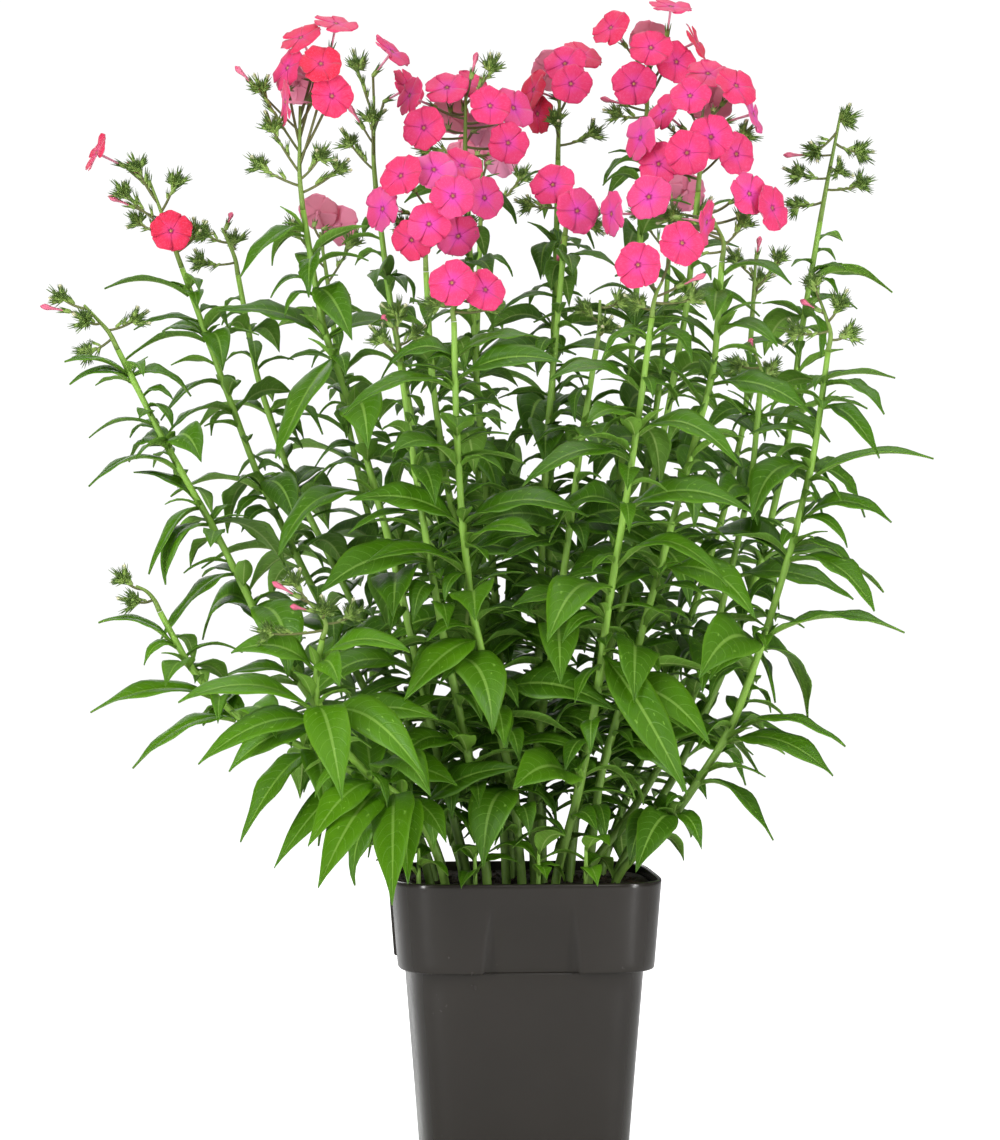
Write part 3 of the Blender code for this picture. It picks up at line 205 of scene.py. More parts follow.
SHOWN_LEAVES = {
    "front_right": [((604, 652), (688, 796, -150), 13, 4), ((641, 398), (549, 380, -125), 10, 10),
                    ((634, 466), (522, 486, -130), 12, 12), ((637, 440), (741, 466, -128), 11, 16),
                    ((613, 566), (728, 586, -125), 10, 22), ((607, 618), (512, 606, -120), 12, 10)],
    "front_centre": [((456, 388), (562, 362, -118), 10, 6), ((455, 398), (343, 414, -118), 11, 12),
                     ((460, 470), (392, 452, -140), 12, 10), ((464, 545), (538, 536, -130), 10, 8),
                     ((466, 572), (366, 562, -120), 11, 10), ((478, 640), (404, 700, -120), 12, 6)],
    "low_front": [((316, 706), (178, 702, -160), 14, 14), ((317, 716), (198, 764, -145), 12, 12),
                  ((318, 700), (342, 800, -178), 14, 12), ((322, 706), (426, 780, -158), 13, 16),
                  ((317, 664), (221, 650, -140), 11, 8), ((320, 654), (410, 652, -145), 11, 8),
                  ((366, 772), (308, 846, -140), 12, 8), ((374, 780), (318, 888, -165), 14, 10),
                  ((380, 786), (392, 906, -188), 15, 14), ((388, 792), (408, 884, -140), 12, 12)],
    "low_left": [((300, 746), (240, 842, -90), 11, 8), ((352, 774), (274, 868, -80), 10, 8),
                 ((176, 640), (98, 622, -84), 9, 6), ((190, 692), (90, 712, -90), 10, 8),
                 ((226, 714), (132, 768, -90), 11, 10)],
    "right": [((704, 780), (774, 840, -60), 12, 12), ((674, 815), (636, 872, -75), 12, 10),
              ((764, 636), (905, 632, -70), 14, 10), ((736, 730), (846, 746, -60), 12, 12),
              ((792, 546), (863, 578, -60), 10, 8), ((801, 522), (892, 522, -62), 11, 12),
              ((812, 482), (934, 458, -50), 10, 8), ((824, 412), (880, 458, -75), 9, 8)],
    "far_right": [((793, 416), (868, 408, 40), 10, 8), ((808, 272), (893, 292, 50), 9, 8),
                  ((786, 450), (840, 500, 30), 10, 8)],
    "right_front": [((719, 340), (778, 346, -90), 11, 8), ((722, 284), (792, 284, -80), 10, 8),
                    ((700, 410), (640, 360, -80), 9, 8)],
    "leftmost": [((186, 470), (88, 486, -40), 12, 12), ((140, 384), (69, 384, -30), 8, 6),
                 ((204, 508), (148, 574, -50), 10, 8), ((236, 572), (160, 640, -40), 11, 8)],
    "second_left": [((264, 492), (170, 496, 40), 12, 10), ((190, 290), (104, 288, 40), 9, 6),
                    ((206, 336), (122, 362, 40), 9, 8), ((222, 380), (160, 420, 30), 10, 8)],
    "fourth_left": [((334, 362), (275, 458, -95), 16, 4), ((304, 236), (240, 276, -70), 11, 8),
                    ((314, 296), (352, 340, -80), 11, 6)],
}
SHOOTS = [
    ("front_left", (-30, -62), 24, 250),
    ("front_middle", (10, -64), 26, 285),
    ("front_right", (40, -60), 28, 300),
    ("left", (-66, -50), 26, 200),
    ("back", (10, 58), 30, 80),
]
LONG_LEAF = [(0.0, 0.07), (0.18, 0.74), (0.48, 1.0), (0.79, 0.5)]
SHORT_LEAF = [(0.0, 0.08), (0.3, 0.96), (0.68, 0.74)]
LOBE = ((-21, 1.0), (21, 1.0))

SHOOT_RADII = [0.0017, 0.0017, 0.0012]
SHOOT_LEAF = 0.042
HEAD_RADII = [0.0017, 0.0015, 0.0013, 0.0010]
FLOWER_RADIUS = 0.0150
PINK_BUD_RADIUS = 0.0021

placed = []


def view_point(across, down, y):
    """Point at depth y that the front view shows at this place."""
    scale = SCALE * (1 + y / VIEW_DISTANCE)
    centre_across, centre_down = PICTURE_CENTRE
    return Vector((EYE.x + (across - centre_across) * scale, y,
                   EYE.z + (centre_down - down) * scale))


def spline(points, count):
    """Points at even lengths along a smooth curve through the given ones."""
    ends = [points[0] * 2 - points[1]] + list(points) + [points[-1] * 2 - points[-2]]
    fine = []
    for k in range(1, len(ends) - 2):
        p0, p1, p2, p3 = ends[k - 1:k + 3]
        for step in range(12):
            t = step / 12
            fine.append(0.5 * (2 * p1 + (p2 - p0) * t + (2 * p0 - 5 * p1 + 4 * p2 - p3) * t * t
                               + (3 * p1 - p0 - 3 * p2 + p3) * t ** 3))
    fine.append(points[-1].copy())
    run = [0.0]
    for a, b in zip(fine, fine[1:]):
        run.append(run[-1] + (b - a).length)
    out = []
    k = 0
    for i in range(count + 1):
        want = run[-1] * i / count
        while k < len(run) - 2 and run[k + 1] < want:
            k += 1
        part = (want - run[k]) / (run[k + 1] - run[k])
        out.append(fine[k].lerp(fine[k + 1], part))
    return out, run[-1]


def tube(path, radii, sides, turn=0.0, pointed=False):
    """Closed tube along a path. A pointed tube ends in a single corner."""
    verts = []
    faces = []
    normal = Vector((math.cos(turn), math.sin(turn), 0.13)).normalized()
    rings = len(path) - (1 if pointed else 0)
    for i in range(rings):
        ahead = path[min(i + 1, len(path) - 1)]
        behind = path[max(i - 1, 0)]
        along = (ahead - behind).normalized()
        normal = (normal - along * normal.dot(along)).normalized()
        across = along.cross(normal)
        for k in range(sides):
            a = 2 * math.pi * k / sides
            verts.append(path[i] + (normal * math.cos(a) + across * math.sin(a)) * radii[i])
    for i in range(rings - 1):
        for k in range(sides):
            a = i * sides + k
            b = i * sides + (k + 1) % sides
            faces.append((a, b, b + sides))
            faces.append((a, b + sides, a + sides))
    faces.append(tuple(range(sides))[::-1])
    last = (rings - 1) * sides
    if pointed:
        verts.append(path[-1].copy())
        for k in range(sides):
            faces.append((last + k, last + (k + 1) % sides, len(verts) - 1))
    else:
        faces.append(tuple(last + k for k in range(sides)))
    return verts, faces, []


def bezier(p0, p1, p2, s):
    """Point and direction on a three-point curve."""
    point = p0 * (1 - s) ** 2 + p1 * 2 * s * (1 - s) + p2 * s * s
    along = (p1 - p0) * (1 - s) + (p2 - p1) * s
    return point, along.normalized()


def leaf(curve, half_width, roll, stations, grow=0.0):
    """Blade along a curve: each section has two sharp edges and a rib below."""
    p0, p1, p2 = curve
    verts = []
    faces = []
    flat = Vector((p2.x - p0.x, p2.y - p0.y, 0)).normalized()
    right = flat.cross(Vector((0, 0, 1)))
    for number, (s, width) in enumerate(stations):
        point, along = bezier(p0, p1, p2, s)
        side = (right - along * right.dot(along)).normalized()
        up = side.cross(along)
        turned = Matrix.Rotation(roll * min(1.0, s * 3), 3, along)
        side = turned @ side
        up = turned @ up
        half = half_width * width + grow
        lift = (0.0006 if number else 0.0008) + grow
        verts.append(point - side * half + up * lift)
        verts.append(point + side * half + up * lift)
        verts.append(point - up * (0.0009 + grow))
    rings = len(stations)
    for i in range(rings - 1):
        l0, r0, b0 = range(i * 3, i * 3 + 3)
        l1, r1, b1 = range(i * 3 + 3, i * 3 + 6)
        faces += [(l0, r0, r1), (l0, r1, l1), (r0, b0, b1),
                  (r0, b1, r1), (b0, l0, b1), (l0, l1, b1)]
    tip, along = bezier(p0, p1, p2, 1.0)
    verts.append(tip + along * grow)
    l0, r0, b0 = range(rings * 3 - 3, rings * 3)
    end = len(verts) - 1
    faces += [(l0, r0, end), (r0, b0, end), (b0, l0, end)]
    faces.append((0, 2, 1))
    free = list(range(6, len(faces) - 1))
    return verts, faces, free


def flower(root, centre, facing, radius, turn, grow=0.0):
    """Flat face of five rounded lobes on a thin tube that swells at the calyx."""
    side = facing.cross(Vector((0, 0, 1)))
    if side.length < 0.1:
        side = facing.cross(Vector((0, 1, 0)))
    side.normalize()
    up = side.cross(facing)
    calyx = centre - facing * 0.021
    path = [root, calyx, centre - facing * 0.0014]
    verts, faces, free = tube(path, [0.0008 + grow, 0.0019 + grow, 0.0009 + grow], 3)
    faces.pop()
    neck = [6, 7, 8]
    outline = []
    for petal in range(5):
        for off, reach in LOBE:
            a = turn + math.radians(72 * petal + off)
            spot = centre + (side * math.cos(a) + up * math.sin(a)) * (radius * reach + grow)
            outline.append(len(verts))
            verts.append(spot + facing * 0.0002)
    verts.append(centre + facing * (0.0002 + grow))
    hub = len(verts) - 1
    first = len(faces)
    for k in range(5 * len(LOBE)):
        faces.append((outline[k], outline[(k + 1) % (5 * len(LOBE))], hub))
    angle = []
    for n in neck:
        d = verts[n] - centre
        angle.append(math.atan2(d.dot(up), d.dot(side)) % (2 * math.pi))
    order = sorted(range(3), key=lambda k: angle[k])
    near = []
    for k in range(5 * len(LOBE)):
        d = verts[outline[k]] - centre
        a = math.atan2(d.dot(up), d.dot(side))
        near.append(min(order, key=lambda j: abs(
            (angle[j] - a + math.pi) % (2 * math.pi) - math.pi)))
    for k in range(5 * len(LOBE)):
        k2 = (k + 1) % (5 * len(LOBE))
        faces.append((outline[k2], outline[k], neck[near[k]]))
        if near[k] != near[k2]:
            faces.append((outline[k2], neck[near[k]], neck[near[k2]]))
    free = list(range(first, len(faces)))
    return verts, faces, free


def bud(root, tip, radius, grow=0.0):
    """Three-sided bud on a short stalk."""
    middle = root.lerp(tip, 0.62)
    small = 0.0009 + grow
    end = tip + (tip - root).normalized() * grow
    return tube([root, middle, end], [small, radius + grow, 0], 3,
                pointed=True)


def tuft(root, centre, tips, grow=0.0):
    """Branch that ends in a knot of pointed buds."""
    along = (centre - root).normalized()
    side = along.cross(Vector((0.31, 0.17, 0.93))).normalized()
    up = side.cross(along)
    count = len(tips) - 1
    verts = []
    for k in range(3):
        a = 2 * math.pi * k / 3
        verts.append(root + (side * math.cos(a) + up * math.sin(a)) * (0.0010 + grow))
    for k in range(count):
        a = 2 * math.pi * k / count
        verts.append(centre + (side * math.cos(a) + up * math.sin(a)) * (0.0026 + grow))
    top = len(verts)
    verts.append(tips[0] + (tips[0] - centre).normalized() * grow)
    faces = [(0, 2, 1)]
    low = 0
    for k in range(count):
        reach = round((k + 1) * 3 / count)
        faces.append((low % 3, 3 + (k + 1) % count, 3 + k))
        while low < reach:
            faces.append((low % 3, (low + 1) % 3, 3 + (k + 1) % count))
            low += 1
    for k in range(count):
        a = 3 + k
        b = 3 + (k + 1) % count
        verts.append(tips[k + 1] + (tips[k + 1] - centre).normalized() * grow)
        end = len(verts) - 1
        faces += [(a, b, end), (b, top, end), (top, a, end)]
    free = list(range(1 + count + 3, len(faces)))
    return verts, faces, free


def tuft_tips(root, centre, count, spin, length):
    """Tips of a knot's buds: the first goes on along the branch, the others lean out round it."""
    along = ((centre - root).normalized() + Vector((0, 0, 0.35))).normalized()
    side = along.cross(Vector((0.31, 0.17, 0.93))).normalized()
    up = side.cross(along)
    tips = [centre + along * length]
    for k in range(count - 1):
        a = 2 * math.pi * (k + 0.5) / (count - 1)
        out = side * math.cos(a) + up * math.sin(a)
        spread = 0.74 + 0.12 * math.sin(5 * k + spin)
        tips.append(centre + (along * 0.62 + out * spread) * length * 0.92)
    return tips


def tree_of(verts, faces):
    """Search tree over a shape's faces."""
    return BVHTree.FromPolygons([tuple(v) for v in verts], faces)


def box_of(verts):
    """Lowest and highest corner of the box round some points."""
    low = [min(v[k] for v in verts) for k in range(3)]
    high = [max(v[k] for v in verts) for k in range(3)]
    return low, high


def clashes(node, shape):
    """True if the shape runs into a piece already placed. Roots may meet within a node."""
    verts, faces, free = shape
    low, high = box_of(verts)
    whole = tree_of(verts, faces)
    part = tree_of(verts, [faces[f] for f in free]) if free else None
    for other, box, full, loose in placed:
        if any(low[k] > box[1][k] or high[k] < box[0][k] for k in range(3)):
            continue
        if other != node:
            if whole.overlap(full):
                return True
        elif part and part.overlap(full) or loose and whole.overlap(loose):
            return True
    return False


def keep(node, shape):
    """Remember a piece's shape so that later ones stay clear of it."""
    verts, faces, free = shape
    loose = tree_of(verts, [faces[f] for f in free]) if free else None
    placed.append((node, box_of(verts), tree_of(verts, faces), loose))


def side_point(half, u, squareness):
    """Point on one side of a rounded square, u from -1 to 1 along it, the side facing -Y."""
    a = u * math.pi / 4
    c = math.cos(a)
    s = math.sin(a)
    reach = half / (abs(c) ** squareness + abs(s) ** squareness) ** (1 / squareness)
    return reach * s, -reach * c


def panel_depth(z):
    """How far the middle of the collar falls back towards the body at a height."""
    if z >= PANEL_TOP or z < COLLAR_BOTTOM - 0.0005:
        return 0.0
    part = (PANEL_TOP - z) / (PANEL_TOP - COLLAR_BOTTOM)
    return part * (COLLAR_LOW_HALF - BODY_TOP_HALF)


def stem_path(root, route):
    """Line of a stem from its hole in the soil through the places given in the front view."""
    x, y = root[0] / 1000, root[1] / 1000
    points = [Vector((x, y, SOIL_TOP + 0.003))]
    for across, down, depth in route:
        points.append(view_point(across, down, depth / 1000))
    count = max(6, round((points[-1] - points[0]).length / 0.078))
    path, _ = spline(points, count)
    return [Vector((x, y, SOIL_TOP - HOLE_DEPTH))] + path


def along_path(path, distance):
    """Point and direction at a length along a path."""
    run = 0.0
    for a, b in zip(path, path[1:]):
        step = (b - a).length
        if run + step >= distance:
            return a.lerp(b, (distance - run) / step), (b - a).normalized()
        run += step
    return path[-1].copy(), (path[-1] - path[-2]).normalized()


def path_radius(distance, length):
    """Radius of a stem, which thins towards its top."""
    return STEM_BASE_R + (STEM_TOP_R - STEM_BASE_R) * min(1.0, distance / length)


def leaf_curve(point, along, azimuth, climb, fall, length, radius):
    """Curve that leaves the stem at an angle and arches over."""
    out = Vector((math.cos(azimuth), math.sin(azimuth), 0))
    out = (out - along * out.dot(along)).normalized()
    start = point + out * radius * 0.4
    flat = Vector((out.x, out.y, 0)).normalized()
    first = flat * math.cos(climb) + Vector((0, 0, math.sin(climb)))
    second = flat * math.cos(fall) + Vector((0, 0, math.sin(fall)))
    p1 = start + first * length * 0.48
    return start, p1, p1 + second * length * 0.56


def outward_roll(point, heading, rng):
    """Turn of the blade about its own line that shows its face to the outside of the plant."""
    outside = Vector((point.x * 0.6, point.y - 0.06, 0)).normalized()
    normal = Vector((0, 0, 0.8)) + outside * 0.75
    right = Vector((math.cos(heading), math.sin(heading), 0)).cross(Vector((0, 0, 1)))
    return 0.85 * math.atan2(normal.dot(right), normal.z) + rng.uniform(-0.3, 0.3)


def place_shown_leaves(name, path, rng):
    """Leaves laid out by their place in the front view, eased until they are clear."""
    node = "leafy_stem_" + name
    leaves = []
    for start, end, half, arch in SHOWN_LEAVES.get(name, []):
        level = view_point(*start, 0).z
        distance = 0.02
        length = sum((b - a).length for a, b in zip(path, path[1:]))
        while along_path(path, distance)[0].z < level and distance < length - 0.004:
            distance += 0.002
        point, along = along_path(path, distance)
        for attempt in range(60):
            loose = attempt / 60
            tip = view_point(end[0] + rng.uniform(-14, 14) * loose,
                             end[1] + rng.uniform(-16, 16) * loose,
                             end[2] / 1000 + rng.uniform(-0.05, 0.05) * loose)
            tip = point.lerp(tip, 1 - 0.25 * loose)
            out = tip - point
            out = (out - along * out.dot(along)).normalized()
            root = point + out * STEM_TOP_R * 0.6
            bend = root.lerp(tip, 0.45) + Vector((0, 0, (arch / 1000 + 0.004) * 1.6))
            heading = math.atan2(tip.y - point.y, tip.x - point.x)
            roll = outward_roll(point, heading, rng)
            spec = ((root, bend, tip), half / 1000, roll, LONG_LEAF)
            if clashes(node, leaf(*spec, CLEARANCE)):
                continue
            keep(node, leaf(*spec))
            leaves.append(spec)
            break
    return leaves


def plan_leaves(name, path, first_height, spacing, longest, rng):
    """Opposite pairs, each a quarter turn from the pair below, tried until clear of the rest."""
    node = "leafy_stem_" + name
    length = sum((b - a).length for a, b in zip(path, path[1:]))
    leaves = []
    distance = 0.0
    while along_path(path, distance)[0].z < first_height:
        distance += 0.002
    heading = rng.uniform(0, math.pi)
    while distance < length - 0.012:
        point, along = along_path(path, distance)
        part = distance / length
        radius = path_radius(distance, length)
        size = longest * (0.80 + 1.2 * part * (1 - part)) * (1 - 0.34 * max(0, part - 0.6) / 0.4)
        for half in range(2):
            base = heading + half * math.pi
            for attempt in range(50):
                loose = attempt / 50
                azimuth = base + rng.uniform(-0.22, 0.22) + rng.uniform(-1.3, 1.3) * loose
                climb = math.radians(rng.uniform(8, 44) + rng.uniform(-30, 30) * loose)
                fall = climb - math.radians(rng.uniform(50, 108))
                reach = size * rng.uniform(0.88, 1.10) * (1 - 0.42 * loose)
                roll = outward_roll(point, azimuth, rng)
                width = reach * rng.uniform(0.148, 0.176)
                curve = leaf_curve(point, along, azimuth, climb, fall, reach, radius)
                if curve[2].z < POT_HEIGHT + 0.006 and max(abs(curve[2].x), abs(curve[2].y)) < 0.1:
                    continue
                stations = LONG_LEAF if reach > 0.092 else SHORT_LEAF
                spec = (curve, width, roll, stations)
                if clashes(node, leaf(*spec, CLEARANCE)):
                    continue
                keep(node, leaf(*spec))
                leaves.append(spec)
                break
        heading += math.pi / 2 + rng.uniform(-0.2, 0.2)
        distance += PAIR_SPACING * spacing * (1.06 - 0.26 * part) * rng.uniform(0.92, 1.08)
    return leaves


def facing_of(turn, tilt):
    """Direction a flower faces, from its turn and tilt in degrees."""
    a = math.radians(turn)
    b = math.radians(tilt)
    return Vector((math.sin(a) * math.cos(b), -math.cos(a) * math.cos(b), math.sin(b)))


def to_and_fro(attempt):
    """Shift in depth for an attempt: wider each time, before and behind in turn."""
    return ((attempt + 1) // 2) * (0.003 if attempt % 2 else -0.003)


def plan_head(name, end, direction, rng):
    """Axis, branches, tufts of buds, pink buds and open flowers of one head."""
    node = "head_" + name
    top, tufts, flowers, pink = HEADS[name]
    base = end + direction * GAP
    crown = view_point(top[0], top[1], base.y)
    axis, length = spline([base, base + direction * 0.012, crown], 3)
    shapes = {"axis": axis, "tufts": [], "buds": [], "flowers": []}
    keep(node, tube(axis, HEAD_RADII, 4))

    ends = [(end[1], end[0]) for end in flowers + tufts + pink]
    ranks = {key: rank for rank, key in enumerate(sorted(ends, reverse=True))}

    def joint(across, down):
        """Where on the axis the branch to a place in the view starts: low branches start low."""
        part = (ranks[(down, across)] + 0.6) / len(ends)
        return along_path(axis, length * (0.12 + 0.85 * part))[0]

    for across, down, dy, turn, tilt in flowers:
        for attempt in range(41):
            centre = view_point(across, down, base.y + dy / 1000 + to_and_fro(attempt))
            facing = facing_of(turn + rng.uniform(-4, 4), tilt + rng.uniform(-4, 4))
            radius = FLOWER_RADIUS * rng.uniform(0.95, 1.06)
            spin = rng.uniform(0, 1.25)
            root = joint(across, down)
            if clashes(node, flower(root, centre, facing, radius, spin, CLEARANCE)):
                continue
            keep(node, flower(root, centre, facing, radius, spin))
            shapes["flowers"].append((root, centre, facing, radius, spin))
            break
    for across, down, dy, count in tufts:
        for attempt in range(31):
            centre = view_point(across, down, base.y + dy / 1000 + to_and_fro(attempt))
            root = joint(across, down)
            tips = tuft_tips(root, centre, count, rng.uniform(0, 6), rng.uniform(0.012, 0.0145))
            if clashes(node, tuft(root, centre, tips, CLEARANCE)):
                continue
            keep(node, tuft(root, centre, tips))
            shapes["tufts"].append((root, centre, tips))
            break
    for across, down in pink:
        for attempt in range(21):
            tip = view_point(across, down, base.y - 0.002 + to_and_fro(attempt))
            root = joint(across, down)
            if clashes(node, bud(root, tip, PINK_BUD_RADIUS, CLEARANCE)):
                continue
            keep(node, bud(root, tip, PINK_BUD_RADIUS))
            shapes["buds"].append((root, tip))
            break
    return shapes


def plan_shoot(name, root, height, turn, rng):
    """Short stem with a few small leaves, two of which may hang over the rim."""
    node = "young_shoot_" + name
    x, y = root[0] / 1000, root[1] / 1000
    rises = (-HOLE_DEPTH, 0.003, height / 1000)
    path = [Vector((x, y, SOIL_TOP + rise)) for rise in rises]
    keep(node, tube(path, SHOOT_RADII, 5))
    leaves = []
    for k in range(4):
        z = 0.30 + 0.2 * k
        point = path[1].lerp(path[2], z)
        for attempt in range(60):
            loose = attempt / 60
            azimuth = (math.radians(turn) + k * 2.1 + rng.uniform(-0.3, 0.3)
                       + rng.uniform(-2, 2) * loose)
            climb = math.radians(rng.uniform(25, 60))
            fall = climb - math.radians(rng.uniform(60, 110))
            reach = SHOOT_LEAF * rng.uniform(0.8, 1.1) * (1 - 0.45 * loose)
            width = reach * 0.17
            roll = rng.uniform(-0.3, 0.3)
            curve = leaf_curve(point, Vector((0, 0, 1)), azimuth, climb, fall, reach, 0.0015)
            if clashes(node, leaf(curve, width, roll, SHORT_LEAF, CLEARANCE)):
                continue
            keep(node, leaf(curve, width, roll, SHORT_LEAF))
            leaves.append((curve, width, roll, SHORT_LEAF))
            break
    return path, leaves


class Skin:
    """Collects the closed surfaces of one piece, with two pairs of numbers at each corner."""

    def __init__(self):
        self.verts = []
        self.faces = []
        self.where = []
        self.tone = []
        self.count = 0

    def add(self, verts, faces, where, tone):
        verts = np.asarray(verts, float)
        self.verts.append(verts)
        self.faces += [tuple(int(i) + self.count for i in face) for face in faces]
        self.where.append(np.asarray(where, float))
        self.tone.append(np.tile(np.asarray(tone, float), (len(verts), 1)))
        self.count += len(verts)


def grid_faces(rows, columns):
    """Faces of a closed sleeve of rows, each a loop of columns corners, with both ends capped."""
    faces = []
    for i in range(rows - 1):
        for k in range(columns):
            a = i * columns + k
            b = i * columns + (k + 1) % columns
            faces.append((a, b, b + columns, a + columns))
    faces.append(tuple(range(columns))[::-1])
    faces.append(tuple(range((rows - 1) * columns, rows * columns)))
    return faces


FACES = {}


def sleeve(rows, columns):
    """Faces of a sleeve, worked out once for each size."""
    if (rows, columns) not in FACES:
        FACES[(rows, columns)] = grid_faces(rows, columns)
    return FACES[(rows, columns)]


def make_piece(name, skin, look, nodes, smooth=True):
    """Mesh object from a skin, riding on the root and standing in for the solids named."""
    verts = np.concatenate(skin.verts)
    mesh = bpy.data.meshes.new(name)
    mesh.from_pydata(verts.tolist(), [], skin.faces)
    where = np.concatenate(skin.where)
    tone = np.concatenate(skin.tone)
    corner = np.zeros(len(mesh.loops), int)
    mesh.loops.foreach_get("vertex_index", corner)
    for title, values in (("where", where), ("tone", tone)):
        layer = mesh.uv_layers.new(name=title)
        layer.data.foreach_set("uv", values[corner].astype(np.float32).ravel())
    work = bmesh.new()
    work.from_mesh(mesh)
    bmesh.ops.recalc_face_normals(work, faces=work.faces)
    work.to_mesh(mesh)
    work.free()
    mesh.polygons.foreach_set("use_smooth", [smooth] * len(mesh.polygons))
    mesh.materials.append(look)
    thing = bpy.data.objects.new(name, mesh)
    bpy.context.scene.collection.objects.link(thing)
    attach(thing, "root")
    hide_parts(*nodes)


LEAF_OUTLINE = ((0.0, 0.05, 0.10, 0.18, 0.27, 0.37, 0.47, 0.58, 0.69, 0.79, 0.88, 0.95, 1.0),
                (0.075, 0.10, 0.30, 0.70, 0.90, 0.99, 1.0, 0.93, 0.76, 0.53, 0.29, 0.12, 0.02))
BLADE_SKIN = 0.00032
RIB_SINK = 0.0007
RIB_SWELL = 0.0011
QUILT_HEIGHT = 0.00028


def fine_leaf(skin, curve, half_width, roll, tone, rng, size=1.0, rows=15, half_columns=4):
    """Thin blade with a sunk midrib, swelling between the side veins and a waved edge."""
    p0, p1, p2 = [np.array(p) for p in curve]
    s = np.linspace(0, 1, rows) ** 0.94
    point = np.outer((1 - s) ** 2, p0) + np.outer(2 * s * (1 - s), p1) + np.outer(s * s, p2)
    along = np.outer(1 - s, p1 - p0) + np.outer(s, p2 - p1)
    along /= np.linalg.norm(along, axis=1)[:, None]
    flat = np.array([p2[0] - p0[0], p2[1] - p0[1], 0.0])
    flat /= np.linalg.norm(flat)
    right = np.cross(flat, (0, 0, 1))
    side = right - along * (along @ right)[:, None]
    side /= np.linalg.norm(side, axis=1)[:, None]
    up = np.cross(side, along)
    turn = (roll * np.minimum(1, s * 3))[:, None]
    side, up = (side * np.cos(turn) + np.cross(along, side) * np.sin(turn),
                up * np.cos(turn) + np.cross(along, up) * np.sin(turn))
    width = np.interp(s, *LEAF_OUTLINE)
    half = half_width * width
    waves = rng.uniform(1.6, 3.1)
    phase = rng.uniform(0, FULL_TURN)
    phase2 = rng.uniform(0, FULL_TURN)
    depth = rng.uniform(0.05, 0.13) * half_width
    fold = rng.uniform(0.02, 0.20)
    v = np.linspace(-1, 1, half_columns * 2 + 1)
    a = np.abs(v)
    lift = (0.0004 * np.minimum(1, width)[:, None] + fold * half[:, None] * a ** 1.2
            + 0.07 * half[:, None] * np.sin(np.pi * a)
            - RIB_SINK * size * np.exp(-(v / 0.10) ** 2))
    edge = np.where(v > 0, np.sin(FULL_TURN * waves * s[:, None] + phase),
                    np.sin(FULL_TURN * waves * s[:, None] + phase2))
    lift += edge * depth * a ** 2.2 * np.sin(np.pi * s)[:, None] ** 0.5
    slanted = np.sin(FULL_TURN * (8.5 * s[:, None] - 1.5 * a))
    quilt = QUILT_HEIGHT * size * slanted * np.sin(np.pi * a)
    lift += quilt * np.sin(np.pi * s)[:, None]
    top = (point[:, None, :] + side[:, None, :] * (half[:, None] * v)[:, :, None]
           + up[:, None, :] * lift[:, :, None])
    thick = BLADE_SKIN + RIB_SWELL * size * np.exp(-(v / 0.11) ** 2) * (1.15 - s[:, None])
    bottom = top - up[:, None, :] * thick[:, :, None]
    loop = np.concatenate([top, bottom[:, ::-1, :]], axis=1)
    skin.add(loop.reshape(-1, 3), sleeve(rows, loop.shape[1]), two_sided(v, s), tone)


def two_sided(v, s):
    """Place of each corner of a thin sheet across and along it; the underside counts from 2."""
    where = np.zeros((len(s), len(v) * 2, 2))
    where[:, :, 0] = np.concatenate([v, v[::-1]]) * 0.5 + 0.5
    where[:, :, 1] = s[:, None] + np.repeat([0.0, 2.0], len(v))
    return where.reshape(-1, 2)


def ring_frame(path):
    """Two directions square to a path at each of its points, turning as little as may be."""
    count = len(path)
    along = np.zeros((count, 3))
    for i in range(count):
        along[i] = path[min(i + 1, count - 1)] - path[max(i - 1, 0)]
        along[i] /= np.linalg.norm(along[i])
    first = np.zeros((count, 3))
    normal = np.array([0.94, 0.31, 0.13])
    for i in range(count):
        normal = normal - along[i] * normal.dot(along[i])
        normal /= np.linalg.norm(normal)
        first[i] = normal
    return first, np.cross(along, first)


def fine_tube(skin, path, radii, sides, tone, twist=0.0, ribs=0.0, rib_count=5):
    """Round rod along a path. Ribs swell and sink its section; twist turns them."""
    path = np.asarray([tuple(p) for p in path], float)
    radii = np.asarray(radii, float)
    first, second = ring_frame(path)
    angle = np.linspace(0, 2 * np.pi, sides, endpoint=False)
    rows = len(path)
    part = np.linspace(0, 1, rows)
    turned = angle[None, :] + twist * part[:, None]
    reach = radii[:, None] * (1 + ribs * np.cos(rib_count * angle)[None, :])
    ring = (path[:, None, :] + first[:, None, :] * (reach * np.cos(turned))[:, :, None]
            + second[:, None, :] * (reach * np.sin(turned))[:, :, None])
    where = np.zeros((rows, sides, 2))
    where[:, :, 0] = angle[None, :] / (2 * np.pi)
    where[:, :, 1] = part[:, None]
    skin.add(ring.reshape(-1, 3), sleeve(rows, sides), where.reshape(-1, 2), tone)


PETAL_ROWS = 8
PETAL_COLUMNS = 7
PETAL_SKIN = 0.0003
PETAL_OUTLINE = ((0.0, 0.12, 0.3, 0.5, 0.68, 0.82, 0.92, 1.0),
                 (0.07, 0.12, 0.28, 0.44, 0.525, 0.53, 0.45, 0.24))


def face_frame(facing):
    """Side, up and out of a flat face, as arrays."""
    side = facing.cross(Vector((0, 0, 1)))
    if side.length < 0.1:
        side = facing.cross(Vector((0, 1, 0)))
    side.normalize()
    return np.array(side), np.array(side.cross(facing)), np.array(facing)


